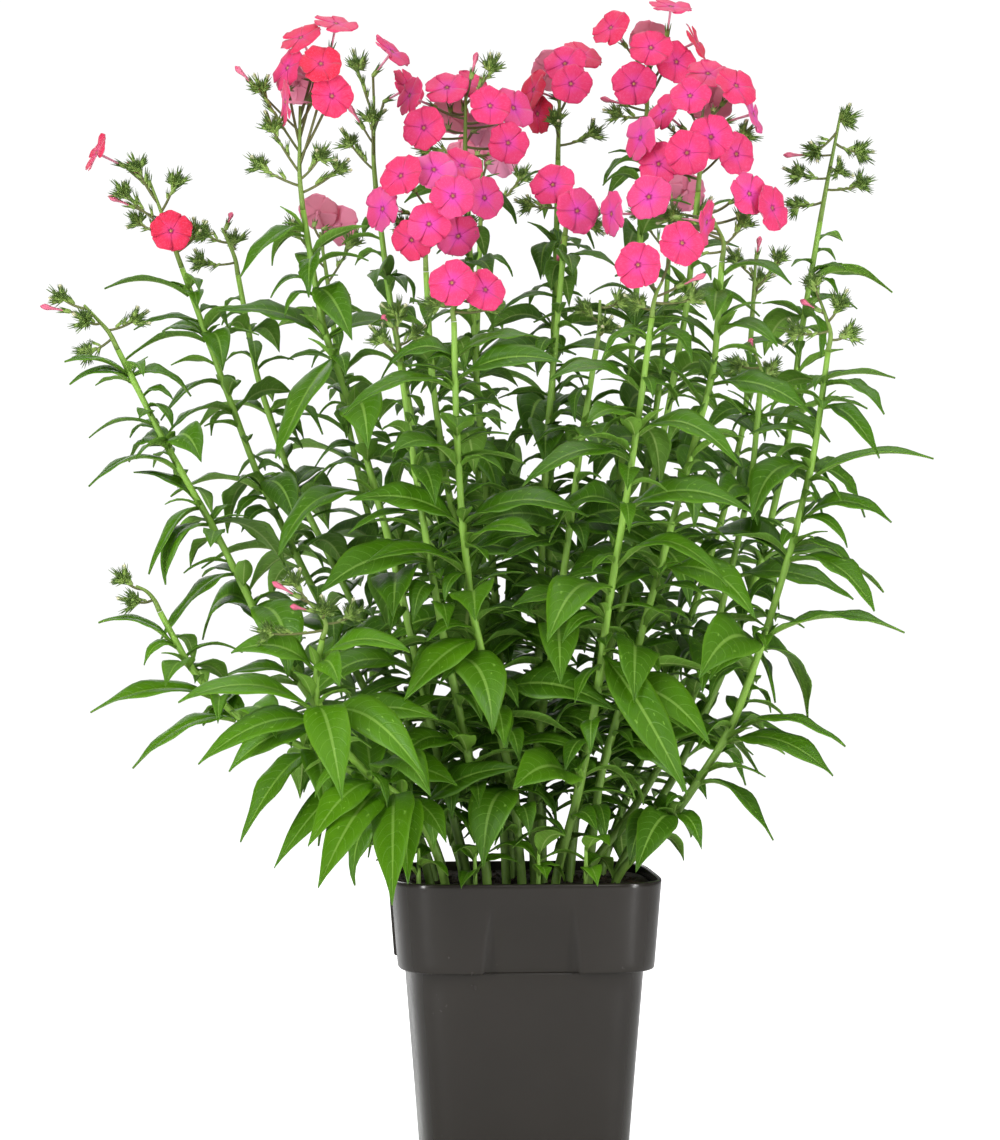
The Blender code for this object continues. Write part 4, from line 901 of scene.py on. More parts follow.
def fine_flower(petals, eyes, centre, facing, radius, spin, tone, rng):
    """Five broad petals that overlap like a fan round a small eye."""
    side, up, out = face_frame(facing)
    middle = np.array(centre)
    t = np.linspace(0, 1, PETAL_ROWS)
    v = np.linspace(-1, 1, PETAL_COLUMNS)
    half = radius * np.interp(t, *PETAL_OUTLINE)
    for petal in range(5):
        a = spin + math.radians(72 * petal) + rng.uniform(-0.05, 0.05)
        along = side * math.cos(a) + up * math.sin(a)
        across = np.cross(out, along)
        reach = radius * rng.uniform(0.96, 1.03)
        notch = rng.uniform(0.0, 0.03)
        rho = reach * (0.05 + 0.95 * t[:, None] * (1 - 0.12 * v ** 2 * t[:, None] ** 2))
        rho -= reach * notch * np.exp(-(v / 0.3) ** 2) * (t[:, None] > 0.95)
        bend = rng.uniform(-0.10, 0.10)
        ripple = rng.uniform(0.015, 0.05) * radius
        phase = rng.uniform(0, FULL_TURN)
        lift = (0.0004 + 0.0009 * v * t[:, None] + bend * radius * t[:, None] ** 2
                + ripple * np.sin(3.2 * v + phase) * t[:, None] ** 2
                + 0.03 * radius * (1 - v ** 2) * np.sin(np.pi * t[:, None]))
        front = (middle + along * rho[:, :, None] + across * (half[:, None] * v)[:, :, None]
                 + out * lift[:, :, None])
        back = front - out * PETAL_SKIN
        loop = np.concatenate([front, back[:, ::-1, :]], axis=1)
        shade = (tone[0] + rng.uniform(-0.04, 0.04), tone[1])
        petals.add(loop.reshape(-1, 3), sleeve(PETAL_ROWS, PETAL_COLUMNS * 2),
                   two_sided(v, t), shade)
    inner = centre - facing * 0.0006
    fine_tube(eyes, [inner, centre + facing * 0.0005, centre + facing * 0.0009],
              [0.0012, 0.0011, 0.0005], 8, (0.5, 0.5))


def fine_calyx(skin, root, tip, radius, tone, rng, length=0.0085):
    """Ribbed cup with five narrow pointed lobes."""
    along = (tip - root).normalized()
    path = [root + along * length * k for k in (0.0, 0.15, 0.50, 0.74)]
    fine_tube(skin, path, [radius * k for k in (0.40, 0.90, 1.0, 0.74)], 7, tone, ribs=0.10)
    side, up, _ = face_frame(along)
    for lobe in range(5):
        a = 2 * math.pi * lobe / 5 + 0.3
        way = Vector(side * math.cos(a) + up * math.sin(a))
        start = root + along * length * 0.55 + way * radius * 0.70
        end = root + along * length * rng.uniform(1.12, 1.38) + way * radius * rng.uniform(0.8, 2.0)
        middle = start.lerp(end, 0.5) + way * radius * 0.05
        fine_tube(skin, [start, middle, end], [radius * 0.40, radius * 0.27, 0.00010], 3,
                  (tone[0], 1.0))


def fine_bud(skin, root, tip, radius, tone, twist=2.4):
    """Furled bud on a thin tube, its petals wound round each other."""
    marks = (0.0, 0.18, 0.40, 0.58, 0.72, 0.84, 0.93, 1.0)
    widths = (0.42, 0.40, 0.42, 0.62, 0.95, 1.0, 0.62, 0.10)
    path = [root.lerp(tip, k) for k in marks]
    fine_tube(skin, path, [radius * k for k in widths], 10, tone, twist=twist, ribs=0.09)


def bowed(start, end, sag, count=6):
    """Points from start to end on a bow that leaves upwards."""
    middle = start.lerp(end, 0.5) - Vector((0, 0, sag))
    return [bezier(start, middle, end, k / (count - 1))[0] for k in range(count)]


def nearest_distance(path, point):
    """Length along a path at which it passes nearest to a point."""
    best = 0.0
    least = 1e9
    run = 0.0
    for a, b in zip(path, path[1:]):
        step = b - a
        t = max(0.0, min(1.0, (point - a).dot(step) / step.length_squared))
        gap = (point - a.lerp(b, t)).length
        if gap < least:
            least = gap
            best = run + t * step.length
        run += step.length
    return best


def dress_stem(name, path, leaves, looks, rng):
    """Round stem with a ring at each pair of leaves, its leaves and small ones in their axils."""
    node = "leafy_stem_" + name
    stem = Skin()
    total = sum((b - a).length for a, b in zip(path, path[1:]))
    joints = sorted(nearest_distance(path, spec[0][0]) for spec in leaves)
    rows = int(total / 0.0075)
    line = []
    widths = []
    for k in range(rows + 1):
        d = total * k / rows
        line.append(along_path(path, d)[0])
        r = STEM_BASE_R + (STEM_TOP_R - STEM_BASE_R) * min(1.0, d / total)
        for joint in joints:
            r += 0.00035 * math.exp(-((d - joint) / 0.0035) ** 2) / 1.6
        widths.append(r * 0.96)
    line = smooth_line(line)
    fine_tube(stem, line, widths, 12, (rng.random(), total), ribs=0.035, rib_count=4)
    make_piece("stem_" + name, stem, looks["stem"], [node])
    blades = Skin()
    for curve, half, roll, _ in leaves:
        tone = leaf_light_and_age(curve, rng)
        fine_leaf(blades, curve, half, roll, tone, rng)
        small_leaves(blades, node, curve, tone, rng)
    more_leaves(blades, node, path, rng)
    make_piece("leaves_" + name, blades, looks["leaf"], [node])


def more_leaves(skin, node, path, rng):
    """Middle-sized leaves between the large pairs, where there is room for them."""
    total = sum((b - a).length for a, b in zip(path, path[1:]))
    d = 0.05 + rng.uniform(0, 0.02)
    while d < total - 0.012:
        point, along = along_path(path, d)
        d += rng.uniform(0.006, 0.013)
        size = rng.uniform(0.038, 0.072) * (1.0 - 0.35 * d / total)
        for attempt in range(8):
            azimuth = rng.uniform(0, FULL_TURN)
            climb = rng.uniform(0.1, 0.9)
            fall = climb - rng.uniform(0.7, 1.9)
            curve = leaf_curve(point, along, azimuth, climb, fall, size, 0.0012)
            half = size * rng.uniform(0.115, 0.155)
            roll = rng.uniform(-0.5, 0.5)
            if beyond(curve) or clashes(node, leaf(curve, half, roll, LONG_LEAF, 0.0003)):
                continue
            keep(node, leaf(curve, half, roll, LONG_LEAF))
            fine_leaf(skin, curve, half, roll, leaf_light_and_age(curve, rng), rng, 0.7, 11, 2)
            break


def beyond(curve):
    """True if a leaf would leave the box of the solids."""
    return any(not (solid_low[k] + 0.002 < p[k] < solid_high[k] - 0.002)
               for p in curve for k in range(3))


def smooth_line(line):
    """Rounds the corners of a line, keeping its ends."""
    for turn in range(3):
        inner = [(a + b * 2 + c) / 4 for a, b, c in zip(line, line[1:], line[2:])]
        line = [line[0]] + inner + [line[-1]]
    return line


def leaf_light_and_age(curve, rng):
    """Painted light and age of a leaf: outer and lower front leaves are painted brighter, as lit,
    and inner ones darker, as painted shade.
    """
    tip = curve[2]
    outer = min(1.0, math.hypot(tip.x, tip.y * 0.8) / 0.22)
    front = max(0.0, min(1.0, (0.02 - tip.y) / 0.18))
    # painted light and shade: outer and front leaves brighter as if lit, inner ones darker in
    # painted shade
    light = 0.20 + 0.38 * outer + 0.20 * front + rng.uniform(-0.16, 0.16)
    # painted light: low front-left leaves, towards the key light, are brighter still
    if tip.x < -0.04 and tip.y < -0.07 and tip.z < 0.36:
        light += 0.22
    return (max(0.02, min(0.98, light)), rng.random())


def small_leaves(skin, node, curve, tone, rng):
    """Young leaves that stand in the axil of a large one."""
    root, _, tip = curve
    out = tip - root
    out = Vector((out.x, out.y, 0)).normalized()
    for number in range(rng.choice((1, 2, 2))):
        size = rng.uniform(0.014, 0.030)
        a = rng.uniform(-0.9, 0.9)
        way = Vector((out.x * math.cos(a) - out.y * math.sin(a),
                      out.x * math.sin(a) + out.y * math.cos(a), 0))
        climb = rng.uniform(0.5, 1.15)
        fall = climb - rng.uniform(0.4, 1.2)
        p1 = root + (way * math.cos(climb) + Vector((0, 0, math.sin(climb)))) * size * 0.5
        p2 = p1 + (way * math.cos(fall) + Vector((0, 0, math.sin(fall)))) * size * 0.5
        half = size * 0.15
        if clashes(node, leaf((root, p1, p2), half, 0, SHORT_LEAF, 0.0002)):
            continue
        keep(node, leaf((root, p1, p2), half, 0, SHORT_LEAF))
        fine_leaf(skin, (root, p1, p2), half, 0, (min(0.98, tone[0] + 0.2), tone[1]), rng,
                  0.4, 7, 2)


def dress_head(name, shapes, looks, rng):
    """Stalks, calyces, furled buds and open flowers of one head."""
    node = "head_" + name
    stalks = Skin()
    cups = Skin()
    buds = Skin()
    petals = Skin()
    eyes = Skin()
    line, length = spline(shapes["axis"], 12)
    fine_tube(stalks, line, np.linspace(0.0018, 0.0009, 13), 9, (0.2, length))
    for root, centre, tips in shapes["tufts"]:
        arm = bowed(root, centre, 0.0022)
        fine_tube(stalks, arm, np.linspace(0.0009, 0.0008, 6), 6, (0.7, length))
        for number, tip in enumerate(tips):
            way = (tip - centre).normalized()
            start = centre + way * 0.0006
            reach = (tip - centre).length
            neck = centre + way * reach * 0.28
            fine_tube(stalks, [centre, start.lerp(neck, 0.5), neck + way * 0.001],
                      [0.0008, 0.0007, 0.0008], 6, (0.6, length))
            fine_calyx(cups, neck, tip, 0.00135, (rng.random(), 0.0), rng, reach * 0.62)
            if rng.random() < 0.30:
                fine_bud(buds, neck + way * 0.003, tip + way * 0.001, 0.0011, (1.0, rng.random()))
            extra_calyces(cups, centre, way, reach, rng, 5)
        arm_way = (centre - root).normalized()
        for k in (0.35, 0.5, 0.62, 0.72, 0.80, 0.87, 0.94):
            extra_calyces(cups, root.lerp(centre, k), arm_way, 0.015, rng, 1)
    for root, tip in shapes["buds"]:
        way = (tip - root).normalized()
        cup = tip - way * 0.0205 if (tip - root).length > 0.024 else root + way * 0.002
        arm = bowed(root, cup + way * 0.001, 0.001)
        fine_tube(stalks, arm, [0.0008] * 6, 6, (0.8, length))
        fine_calyx(cups, cup, tip, 0.0016, (rng.random(), 0.0), rng, 0.0075)
        fine_bud(buds, cup + way * 0.003, tip, 0.0019, (0.0, rng.random()))
    for root, centre, facing, radius, spin in shapes["flowers"]:
        cup = centre - facing * 0.0225
        arm = bowed(root, cup + facing * 0.001, 0.002)
        fine_tube(stalks, arm, [0.0009] * 6, 6, (0.75, length))
        fine_calyx(cups, cup, centre, 0.0017, (rng.random(), 0.0), rng, 0.0085)
        tone = flower_tone(name, rng)
        neck = [cup.lerp(centre, k) for k in (0.15, 0.4, 0.7, 0.92, 1.0)]
        fine_tube(petals, neck, [0.0008, 0.00075, 0.00085, 0.0010, 0.0016], 8, (tone[0], 3.0))
        fine_flower(petals, eyes, centre, facing, radius, spin, tone, rng)
    make_piece("stalks_" + name, stalks, looks["stalk"], [node])
    make_piece("calyces_" + name, cups, looks["calyx"], [node])
    if buds.verts:
        make_piece("buds_" + name, buds, looks["bud"], [node])
    if petals.verts:
        make_piece("petals_" + name, petals, looks["petal"], [node])
        make_piece("eyes_" + name, eyes, looks["eye"], [node])


def extra_calyces(cups, centre, way, reach, rng, count):
    """Smaller calyces crowded round a large one or along a branch."""
    side, up, _ = face_frame(way)
    for number in range(count):
        a = rng.uniform(0, FULL_TURN)
        lean = Vector(side * math.cos(a) + up * math.sin(a)) * rng.uniform(0.35, 0.95)
        tilt = (way + lean + Vector((0, 0, 0.25))).normalized()
        start = centre + way * reach * rng.uniform(-0.02, 0.22)
        fine_calyx(cups, start, start + tilt * 0.008, rng.uniform(0.0009, 0.0012),
                   (rng.random(), 0.0), rng, reach * rng.uniform(0.40, 0.56))


def flower_tone(name, rng):
    """Hue of a flower, from coral red at 0 to pale lilac at 1, and its paleness."""
    reds = {"fourth_left": 0.12, "centre_far": 0.25, "front_right": 0.22, "right_far": 0.20,
            "front_centre": 0.30, "second_left": 0.28}
    middle = reds.get(name, 0.42)
    return (max(0.0, min(1.0, middle + rng.uniform(-0.22, 0.30))), rng.random())


def dress_shoot(name, path, leaves, looks, rng):
    node = "young_shoot_" + name
    stem = Skin()
    line, _ = spline(path[1:], 8)
    line = [path[0]] + line
    fine_tube(stem, line, np.linspace(0.0016, 0.0011, len(line)), 8, (0.3, 0.04))
    make_piece("shoot_stem_" + name, stem, looks["stem"], [node])
    blades = Skin()
    for curve, half, roll, _ in leaves:
        fine_leaf(blades, curve, half, roll, (rng.uniform(0.35, 0.85), rng.random()), rng, 0.7)
    make_piece("shoot_leaves_" + name, blades, looks["leaf"], [node])


POT_SIDES = 176
RIM_ROUND = 0.0013


def fine_pot_ring(half, z, panel=True):
    """Section of the pot at a height, with the collar's set-back panels between crisp creases."""
    low_part = max(0.0, min(1.0, (PANEL_TOP - z) / (PANEL_TOP - COLLAR_BOTTOM)))
    panel_half = 0.0255 + 0.0045 * low_part
    inner = (panel_half - 0.0005) / half * 1.22
    outer = (panel_half + 0.0005) / half * 1.22
    marks = [-1 + (1 - outer) * k / 13 for k in range(14)]
    marks += [-inner + 2 * inner * k / 15 for k in range(16)]
    marks += [outer + (1 - outer) * k / 14 for k in range(14)]
    set_back = panel_depth(z) if panel and z > COLLAR_BOTTOM - 0.00001 else 0.0
    ring = []
    for quarter in range(4):
        turn = quarter * math.pi / 2 + POT_TURN
        for number, u in enumerate(marks):
            x, y = side_point(half, u, SQUARENESS)
            if 14 <= number < 30:
                y += set_back
            ring.append((x * math.cos(turn) - y * math.sin(turn),
                         x * math.sin(turn) + y * math.cos(turn), z))
    return ring


def make_fine_pot(looks):
    """Thin glossy shell with softened edges, from its foot up the outside and down the inside."""
    low = COLLAR_LOW_HALF
    top = low + (RIM_HALF - low) * 0.78
    foot = 0.0022
    profile = [(BASE_HALF - 0.030, 0.0016), (BASE_HALF - 0.006, 0.0016), (BASE_HALF - 0.0045, 0.0),
               (BASE_HALF - 0.0016, 0.0), (BASE_HALF - 0.0004, 0.0008), (BASE_HALF, foot)]
    for k in range(1, 12):
        part = k / 12
        profile.append((BASE_HALF + (BODY_TOP_HALF - BASE_HALF) * part,
                        foot + (COLLAR_BOTTOM - 0.0042) * part))
    profile += [(BODY_TOP_HALF, COLLAR_BOTTOM - 0.0014),
                (BODY_TOP_HALF + 0.0004, COLLAR_BOTTOM - 0.0004), (low - 0.0012, COLLAR_BOTTOM),
                (low - 0.0003, COLLAR_BOTTOM + 0.0004), (low, COLLAR_BOTTOM + 0.0013)]
    for k in range(1, 9):
        part = k / 9
        profile.append((low + (top - low) * part,
                        COLLAR_BOTTOM + 0.0013 + (PANEL_TOP - COLLAR_BOTTOM - 0.0015) * part))
    profile += [(top, PANEL_TOP), (RIM_HALF - 0.0002, POT_HEIGHT - 0.0034)]
    for angle in range(0, 181, 30):
        a = math.radians(angle)
        profile.append((RIM_HALF - RIM_ROUND + RIM_ROUND * math.cos(a),
                        POT_HEIGHT - RIM_ROUND + RIM_ROUND * math.sin(a)))
    profile += [(RIM_HALF - WALL, POT_HEIGHT - 0.004), (top - WALL, PANEL_TOP),
                (low - WALL, COLLAR_BOTTOM + WALL), (BODY_TOP_HALF - WALL, COLLAR_BOTTOM - 0.002),
                (BASE_HALF + 0.0003 - WALL, FLOOR), (0.03, FLOOR)]
    skin = Skin()
    add_rings(skin, [fine_pot_ring(half, z) for half, z in profile])
    make_piece("pot_shell", skin, looks["pot"], ["pot"])


def add_rings(skin, rings):
    """Closed surface through rings of POT_SIDES corners each."""
    rows = len(rings)
    where = [(k / POT_SIDES, i / rows) for i in range(rows) for k in range(POT_SIDES)]
    corners = [corner for ring in rings for corner in ring]
    skin.add(corners, sleeve(rows, POT_SIDES), where, (0.5, 0.5))


def make_fine_soil(looks, rng):
    """Crumbly peat up to just under the rim, with loose crumbs and a little grit on it."""
    shrink = WALL + 0.0004
    top_half = COLLAR_LOW_HALF + (RIM_HALF - COLLAR_LOW_HALF) * 0.8 - shrink
    skin = Skin()
    rings = [fine_pot_ring(top_half - 0.003, SOIL_TOP - 0.008, False)]
    steps = 30
    for k in range(steps):
        part = 1 - k / steps
        ring = []
        for x, y, _ in fine_pot_ring(top_half, SOIL_TOP, False):
            px, py = x * part, y * part
            bump = noise.fractal(Vector((px * 95, py * 95, 3.1)), 0.6, 2.1, 4) * 0.0016
            ring.append((px, py, SOIL_TOP + 0.0002 + bump * min(1.0, k / 2)))
        rings.append(ring)
    add_rings(skin, rings)
    make_piece("soil_bed", skin, looks["soil"], ["soil"])
    crumbs = Skin()
    for number in range(420):
        a = rng.uniform(0, FULL_TURN)
        r = (top_half - 0.004) * math.sqrt(rng.random()) * 0.96
        x, y = r * math.cos(a), r * math.sin(a)
        size = rng.uniform(0.0007, 0.0024)
        centre = Vector((x, y, SOIL_TOP + size * 0.4))
        lean = Vector((rng.uniform(-1, 1), rng.uniform(-1, 1), rng.uniform(-0.3, 0.6))).normalized()
        long = size * rng.uniform(0.7, 1.8)
        path = [centre + lean * long * k for k in (-0.5, -0.3, 0.05, 0.35, 0.5)]
        radii = [size * k * rng.uniform(0.7, 1.2) for k in (0.2, 0.42, 0.55, 0.4, 0.15)]
        fine_tube(crumbs, path, radii, 6, (rng.random(), rng.random()), ribs=0.15, rib_count=2)
    make_piece("soil_crumbs", crumbs, looks["soil"], ["soil"], smooth=False)


def new_look(name):
    look = bpy.data.materials.new(name)
    look.use_nodes = True
    tree = look.node_tree
    tree.nodes.clear()
    out = tree.nodes.new("ShaderNodeOutputMaterial")
    shader = tree.nodes.new("ShaderNodeBsdfPrincipled")
    tree.links.new(shader.outputs[0], out.inputs[0])
    return look, tree, shader


RIB_WAVES = 15.7


def new_effect(name, inputs, outputs):
    """Empty shader node group with named sockets: its inside, its inputs and its outputs."""
    group = bpy.data.node_groups.new(name, "ShaderNodeTree")
    for label, kind in inputs:
        group.interface.new_socket(label, in_out="INPUT", socket_type="NodeSocket" + kind)
    for label in outputs:
        group.interface.new_socket(label, in_out="OUTPUT", socket_type="NodeSocketFloat")
    given = group.nodes.new("NodeGroupInput").outputs
    result = group.nodes.new("NodeGroupOutput").inputs
    return group, given, result


def make_effects():
    """Surface effects that more than one material shows, each a node group built once."""
    size = [("Place", "Vector"), ("Scale", "Float")]
    group, given, result = new_effect(
        "mottle", size + [("Detail", "Float"), ("Roughness", "Float")], ["Mask"])
    noise_node = group.nodes.new("ShaderNodeTexNoise")
    for source, socket in (("Place", "Vector"), ("Scale", "Scale"), ("Detail", "Detail"),
                           ("Roughness", "Roughness")):
        group.links.new(given[source], noise_node.inputs[socket])
    group.links.new(noise_node.outputs["Fac"], result["Mask"])

    group, given, result = new_effect("specks", size, ["Distance"])
    cells = group.nodes.new("ShaderNodeTexVoronoi")
    group.links.new(given["Place"], cells.inputs["Vector"])
    group.links.new(given["Scale"], cells.inputs["Scale"])
    group.links.new(cells.outputs["Distance"], result["Distance"])

    group, given, result = new_effect("ribs", [("Around", "Float")], ["Mask"])
    w = Wires(group)
    wave = w.math("SINE", w.math("MULTIPLY", given["Around"], RIB_WAVES))
    group.links.new(w.math("ABSOLUTE", wave), result["Mask"])

    group, given, result = new_effect("two_sides", [("Along", "Float")], ["Underside", "Length"])
    w = Wires(group)
    under = w.math("GREATER_THAN", given["Along"], 1.5)
    length = w.math("SUBTRACT", given["Along"], w.math("MULTIPLY", under, 2.0))
    group.links.new(under, result["Underside"])
    group.links.new(length, result["Length"])


class Wires:
    """Short way to write node trees."""

    def __init__(self, tree):
        self.tree = tree

    def put(self, value, socket):
        if hasattr(value, "is_output"):
            self.tree.links.new(value, socket)
        elif isinstance(value, (tuple, list)):
            if len(socket.default_value) == 4 and len(value) == 3:
                value = (*value, 1.0)
            socket.default_value = value
        else:
            socket.default_value = value

    def math(self, kind, a, b=0.0, c=0.0, clamp=False):
        node = self.tree.nodes.new("ShaderNodeMath")
        node.operation = kind
        node.use_clamp = clamp
        for value, socket in zip((a, b, c), node.inputs):
            self.put(value, socket)
        return node.outputs[0]

    def mix(self, part, a, b, kind="MIX"):
        node = self.tree.nodes.new("ShaderNodeMix")
        node.data_type = "RGBA"
        node.blend_type = kind
        self.put(part, node.inputs["Factor"])
        self.put(a, node.inputs[6])
        self.put(b, node.inputs[7])
        return node.outputs[2]

    def ramp(self, value, low, high, start=0.0, end=1.0):
        node = self.tree.nodes.new("ShaderNodeMapRange")
        node.interpolation_type = "SMOOTHSTEP"
        for x, socket in zip((value, low, high, start, end), node.inputs):
            self.put(x, socket)
        return node.outputs[0]

    def uv(self, name):
        node = self.tree.nodes.new("ShaderNodeUVMap")
        node.uv_map = name
        split = self.tree.nodes.new("ShaderNodeSeparateXYZ")
        self.tree.links.new(node.outputs[0], split.inputs[0])
        return split.outputs[0], split.outputs[1]

    def place(self):
        return self.tree.nodes.new("ShaderNodeTexCoord").outputs["Object"]

    def effect(self, name, **values):
        """Place a shared effect with this material's own values."""
        node = self.tree.nodes.new("ShaderNodeGroup")
        node.node_tree = bpy.data.node_groups[name]
        for label, value in values.items():
            self.put(value, node.inputs[label])
        return node.outputs

    def cloud(self, scale, detail=3.0, rough=0.5, vector=None):
        return self.effect("mottle", Place=vector or self.place(), Scale=scale, Detail=detail,
                           Roughness=rough)["Mask"]

    def cells(self, scale, vector=None):
        return self.effect("specks", Place=vector or self.place(), Scale=scale)["Distance"]

    def join(self, x, y, z=0.0):
        node = self.tree.nodes.new("ShaderNodeCombineXYZ")
        for value, socket in zip((x, y, z), node.inputs):
            self.put(value, socket)
        return node.outputs[0]

    def bump(self, height, strength, distance):
        node = self.tree.nodes.new("ShaderNodeBump")
        node.inputs["Strength"].default_value = strength
        node.inputs["Distance"].default_value = distance
        self.put(height, node.inputs["Height"])
        return node.outputs[0]


def leaf_look():
    """Green blade: pale midrib, curved side veins, fine net, paler matt underside; its greens run
    from painted shade to painted light by the leaf's light value.
    """
    look, tree, shader = new_look("phlox_leaf")
    w = Wires(tree)
    across, down = w.uv("where")
    light, age = w.uv("tone")
    under, s = w.effect("two_sides", Along=down)
    a = w.math("ABSOLUTE", w.math("MULTIPLY", w.math("SUBTRACT", across, 0.5), 2.0))
    rib = w.ramp(a, 0.035, 0.10, 1.0, 0.0)
    bend = w.math("MULTIPLY", w.math("POWER", a, 1.6), 1.55)
    beat = w.math("FRACT", w.math("SUBTRACT", w.math("MULTIPLY", s, 11.0), bend))
    vein = w.ramp(w.math("ABSOLUTE", w.math("SUBTRACT", beat, 0.5)), 0.0, 0.085, 1.0, 0.0)
    vein = w.math("MULTIPLY", vein, w.ramp(a, 0.55, 0.98, 1.0, 0.15))
    net = w.cells(26.0, w.join(w.math("MULTIPLY", across, 1.0), w.math("MULTIPLY", s, 3.2), age))
    patch = w.cloud(55.0, 3.0)
    # painted shade and light: dark greens for leaves shaded inside the plant, bright ones for lit
    # leaves, mixed by the leaf's light value
    shaded_green = w.mix(patch, (0.009, 0.038, 0.002), (0.024, 0.076, 0.002))
    lit_green = w.mix(patch, (0.064, 0.205, 0.001), (0.118, 0.290, 0.002))
    top = w.mix(light, shaded_green, lit_green)
    top = w.mix(w.math("MULTIPLY", w.ramp(a, 0.80, 1.0), 0.25), top, (0.20, 0.42, 0.02))
    top = w.mix(w.math("MULTIPLY", net, 0.20), top, (0.10, 0.30, 0.02))
    top = w.mix(w.math("MULTIPLY", vein, 0.34), top, (0.20, 0.42, 0.05))
    top = w.mix(w.math("MULTIPLY", rib, 0.62), top, (0.30, 0.52, 0.09))
    # painted shade and light on the underside as well, by the leaf's light value
    below = w.mix(light, (0.085, 0.205, 0.022), (0.215, 0.430, 0.045))
    below = w.mix(w.math("MULTIPLY", vein, 0.5), below, (0.33, 0.52, 0.11))
    below = w.mix(w.math("MULTIPLY", rib, 0.8), below, (0.42, 0.60, 0.16))
    w.put(w.mix(under, top, below), shader.inputs["Base Color"])
    w.put(w.ramp(w.math("ADD", patch, w.math("MULTIPLY", under, 0.35)), 0.25, 1.0, 0.34, 0.62),
          shader.inputs["Roughness"])
    relief = w.math("ADD", w.math("MULTIPLY", vein, -0.5), w.math("MULTIPLY", net, 0.35))
    relief = w.math("ADD", relief, w.math("MULTIPLY", patch, 0.3))
    w.put(w.bump(relief, 0.55, 0.0006), shader.inputs["Normal"])
    shader.inputs["Specular IOR Level"].default_value = 0.34
    return look


def stem_look():
    """Pale yellow-green stem with fine lengthwise streaks, darker and browner low down."""
    look, tree, shader = new_look("phlox_stem")
    w = Wires(tree)
    around, up = w.uv("where")
    streak = w.cloud(9.0, 3.0, 0.6, w.join(w.math("MULTIPLY", around, 6.0),
                                           w.math("MULTIPLY", up, 3.0)))
    mottle = w.cloud(260.0, 2.0)
    green = w.mix(streak, (0.185, 0.400, 0.030), (0.330, 0.560, 0.085))
    low = w.mix(mottle, (0.075, 0.160, 0.018), (0.150, 0.260, 0.040))
    green = w.mix(w.ramp(up, 0.10, 0.50, 0.75, 0.0), green, low)
    w.put(green, shader.inputs["Base Color"])
    w.put(w.ramp(mottle, 0.3, 0.7, 0.42, 0.58), shader.inputs["Roughness"])
    w.put(w.bump(w.math("ADD", streak, w.math("MULTIPLY", mottle, 0.4)), 0.4, 0.0004),
          shader.inputs["Normal"])
    return look


def stalk_look():
    """Thin branches of the head, green low down and purple-brown above."""
    look, tree, shader = new_look("head_stalk")
    w = Wires(tree)
    kind, _ = w.uv("tone")
    mottle = w.cloud(300.0, 3.0)
    brown = w.mix(mottle, (0.080, 0.040, 0.030), (0.150, 0.110, 0.050))
    green = w.mix(mottle, (0.150, 0.290, 0.030), (0.270, 0.440, 0.070))
    w.put(w.mix(kind, green, brown), shader.inputs["Base Color"])
    shader.inputs["Roughness"].default_value = 0.55
    w.put(w.bump(mottle, 0.4, 0.0003), shader.inputs["Normal"])
    return look


def calyx_look():
    """Green cup with cream foot and darker pointed lobes."""
    look, tree, shader = new_look("calyx")
    w = Wires(tree)
    around, up = w.uv("where")
    number, lobe = w.uv("tone")
    rib = w.effect("ribs", Around=around)["Mask"]
    mottle = w.cloud(420.0, 2.0)
    cup = w.mix(w.math("MULTIPLY", rib, 0.6), (0.36, 0.50, 0.12), (0.150, 0.290, 0.030))
    cup = w.mix(w.ramp(up, 0.0, 0.5, 0.5, 0.0), cup, (0.55, 0.62, 0.30))
    point = w.mix(up, (0.130, 0.270, 0.030), (0.050, 0.095, 0.022))
    green = w.mix(lobe, cup, point)
    green = w.mix(w.math("MULTIPLY", number, 0.35), green, (0.300, 0.460, 0.070))
    w.put(w.mix(w.math("MULTIPLY", mottle, 0.3), green, (0.060, 0.120, 0.020)),
          shader.inputs["Base Color"])
    shader.inputs["Roughness"].default_value = 0.55
    w.put(w.bump(mottle, 0.3, 0.0003), shader.inputs["Normal"])
    return look


def bud_look():
    """Furled bud: pink with paler winding seams; the young ones are cream green."""
    look, tree, shader = new_look("furled_bud")
    w = Wires(tree)
    around, up = w.uv("where")
    young, number = w.uv("tone")
    seam = w.effect("ribs", Around=around)["Mask"]
    pink = w.mix(up, (0.76, 0.20, 0.30), (0.82, 0.045, 0.17))
    pink = w.mix(w.math("MULTIPLY", seam, 0.4), pink, (0.90, 0.33, 0.45))
    cream = w.mix(up, (0.52, 0.62, 0.28), (0.70, 0.66, 0.42))
    w.put(w.mix(young, pink, cream), shader.inputs["Base Color"])
    w.put(w.bump(seam, 0.5, 0.0004), shader.inputs["Normal"])
    w.put(w.ramp(number, 0.0, 1.0, 0.42, 0.60), shader.inputs["Roughness"])
    return look


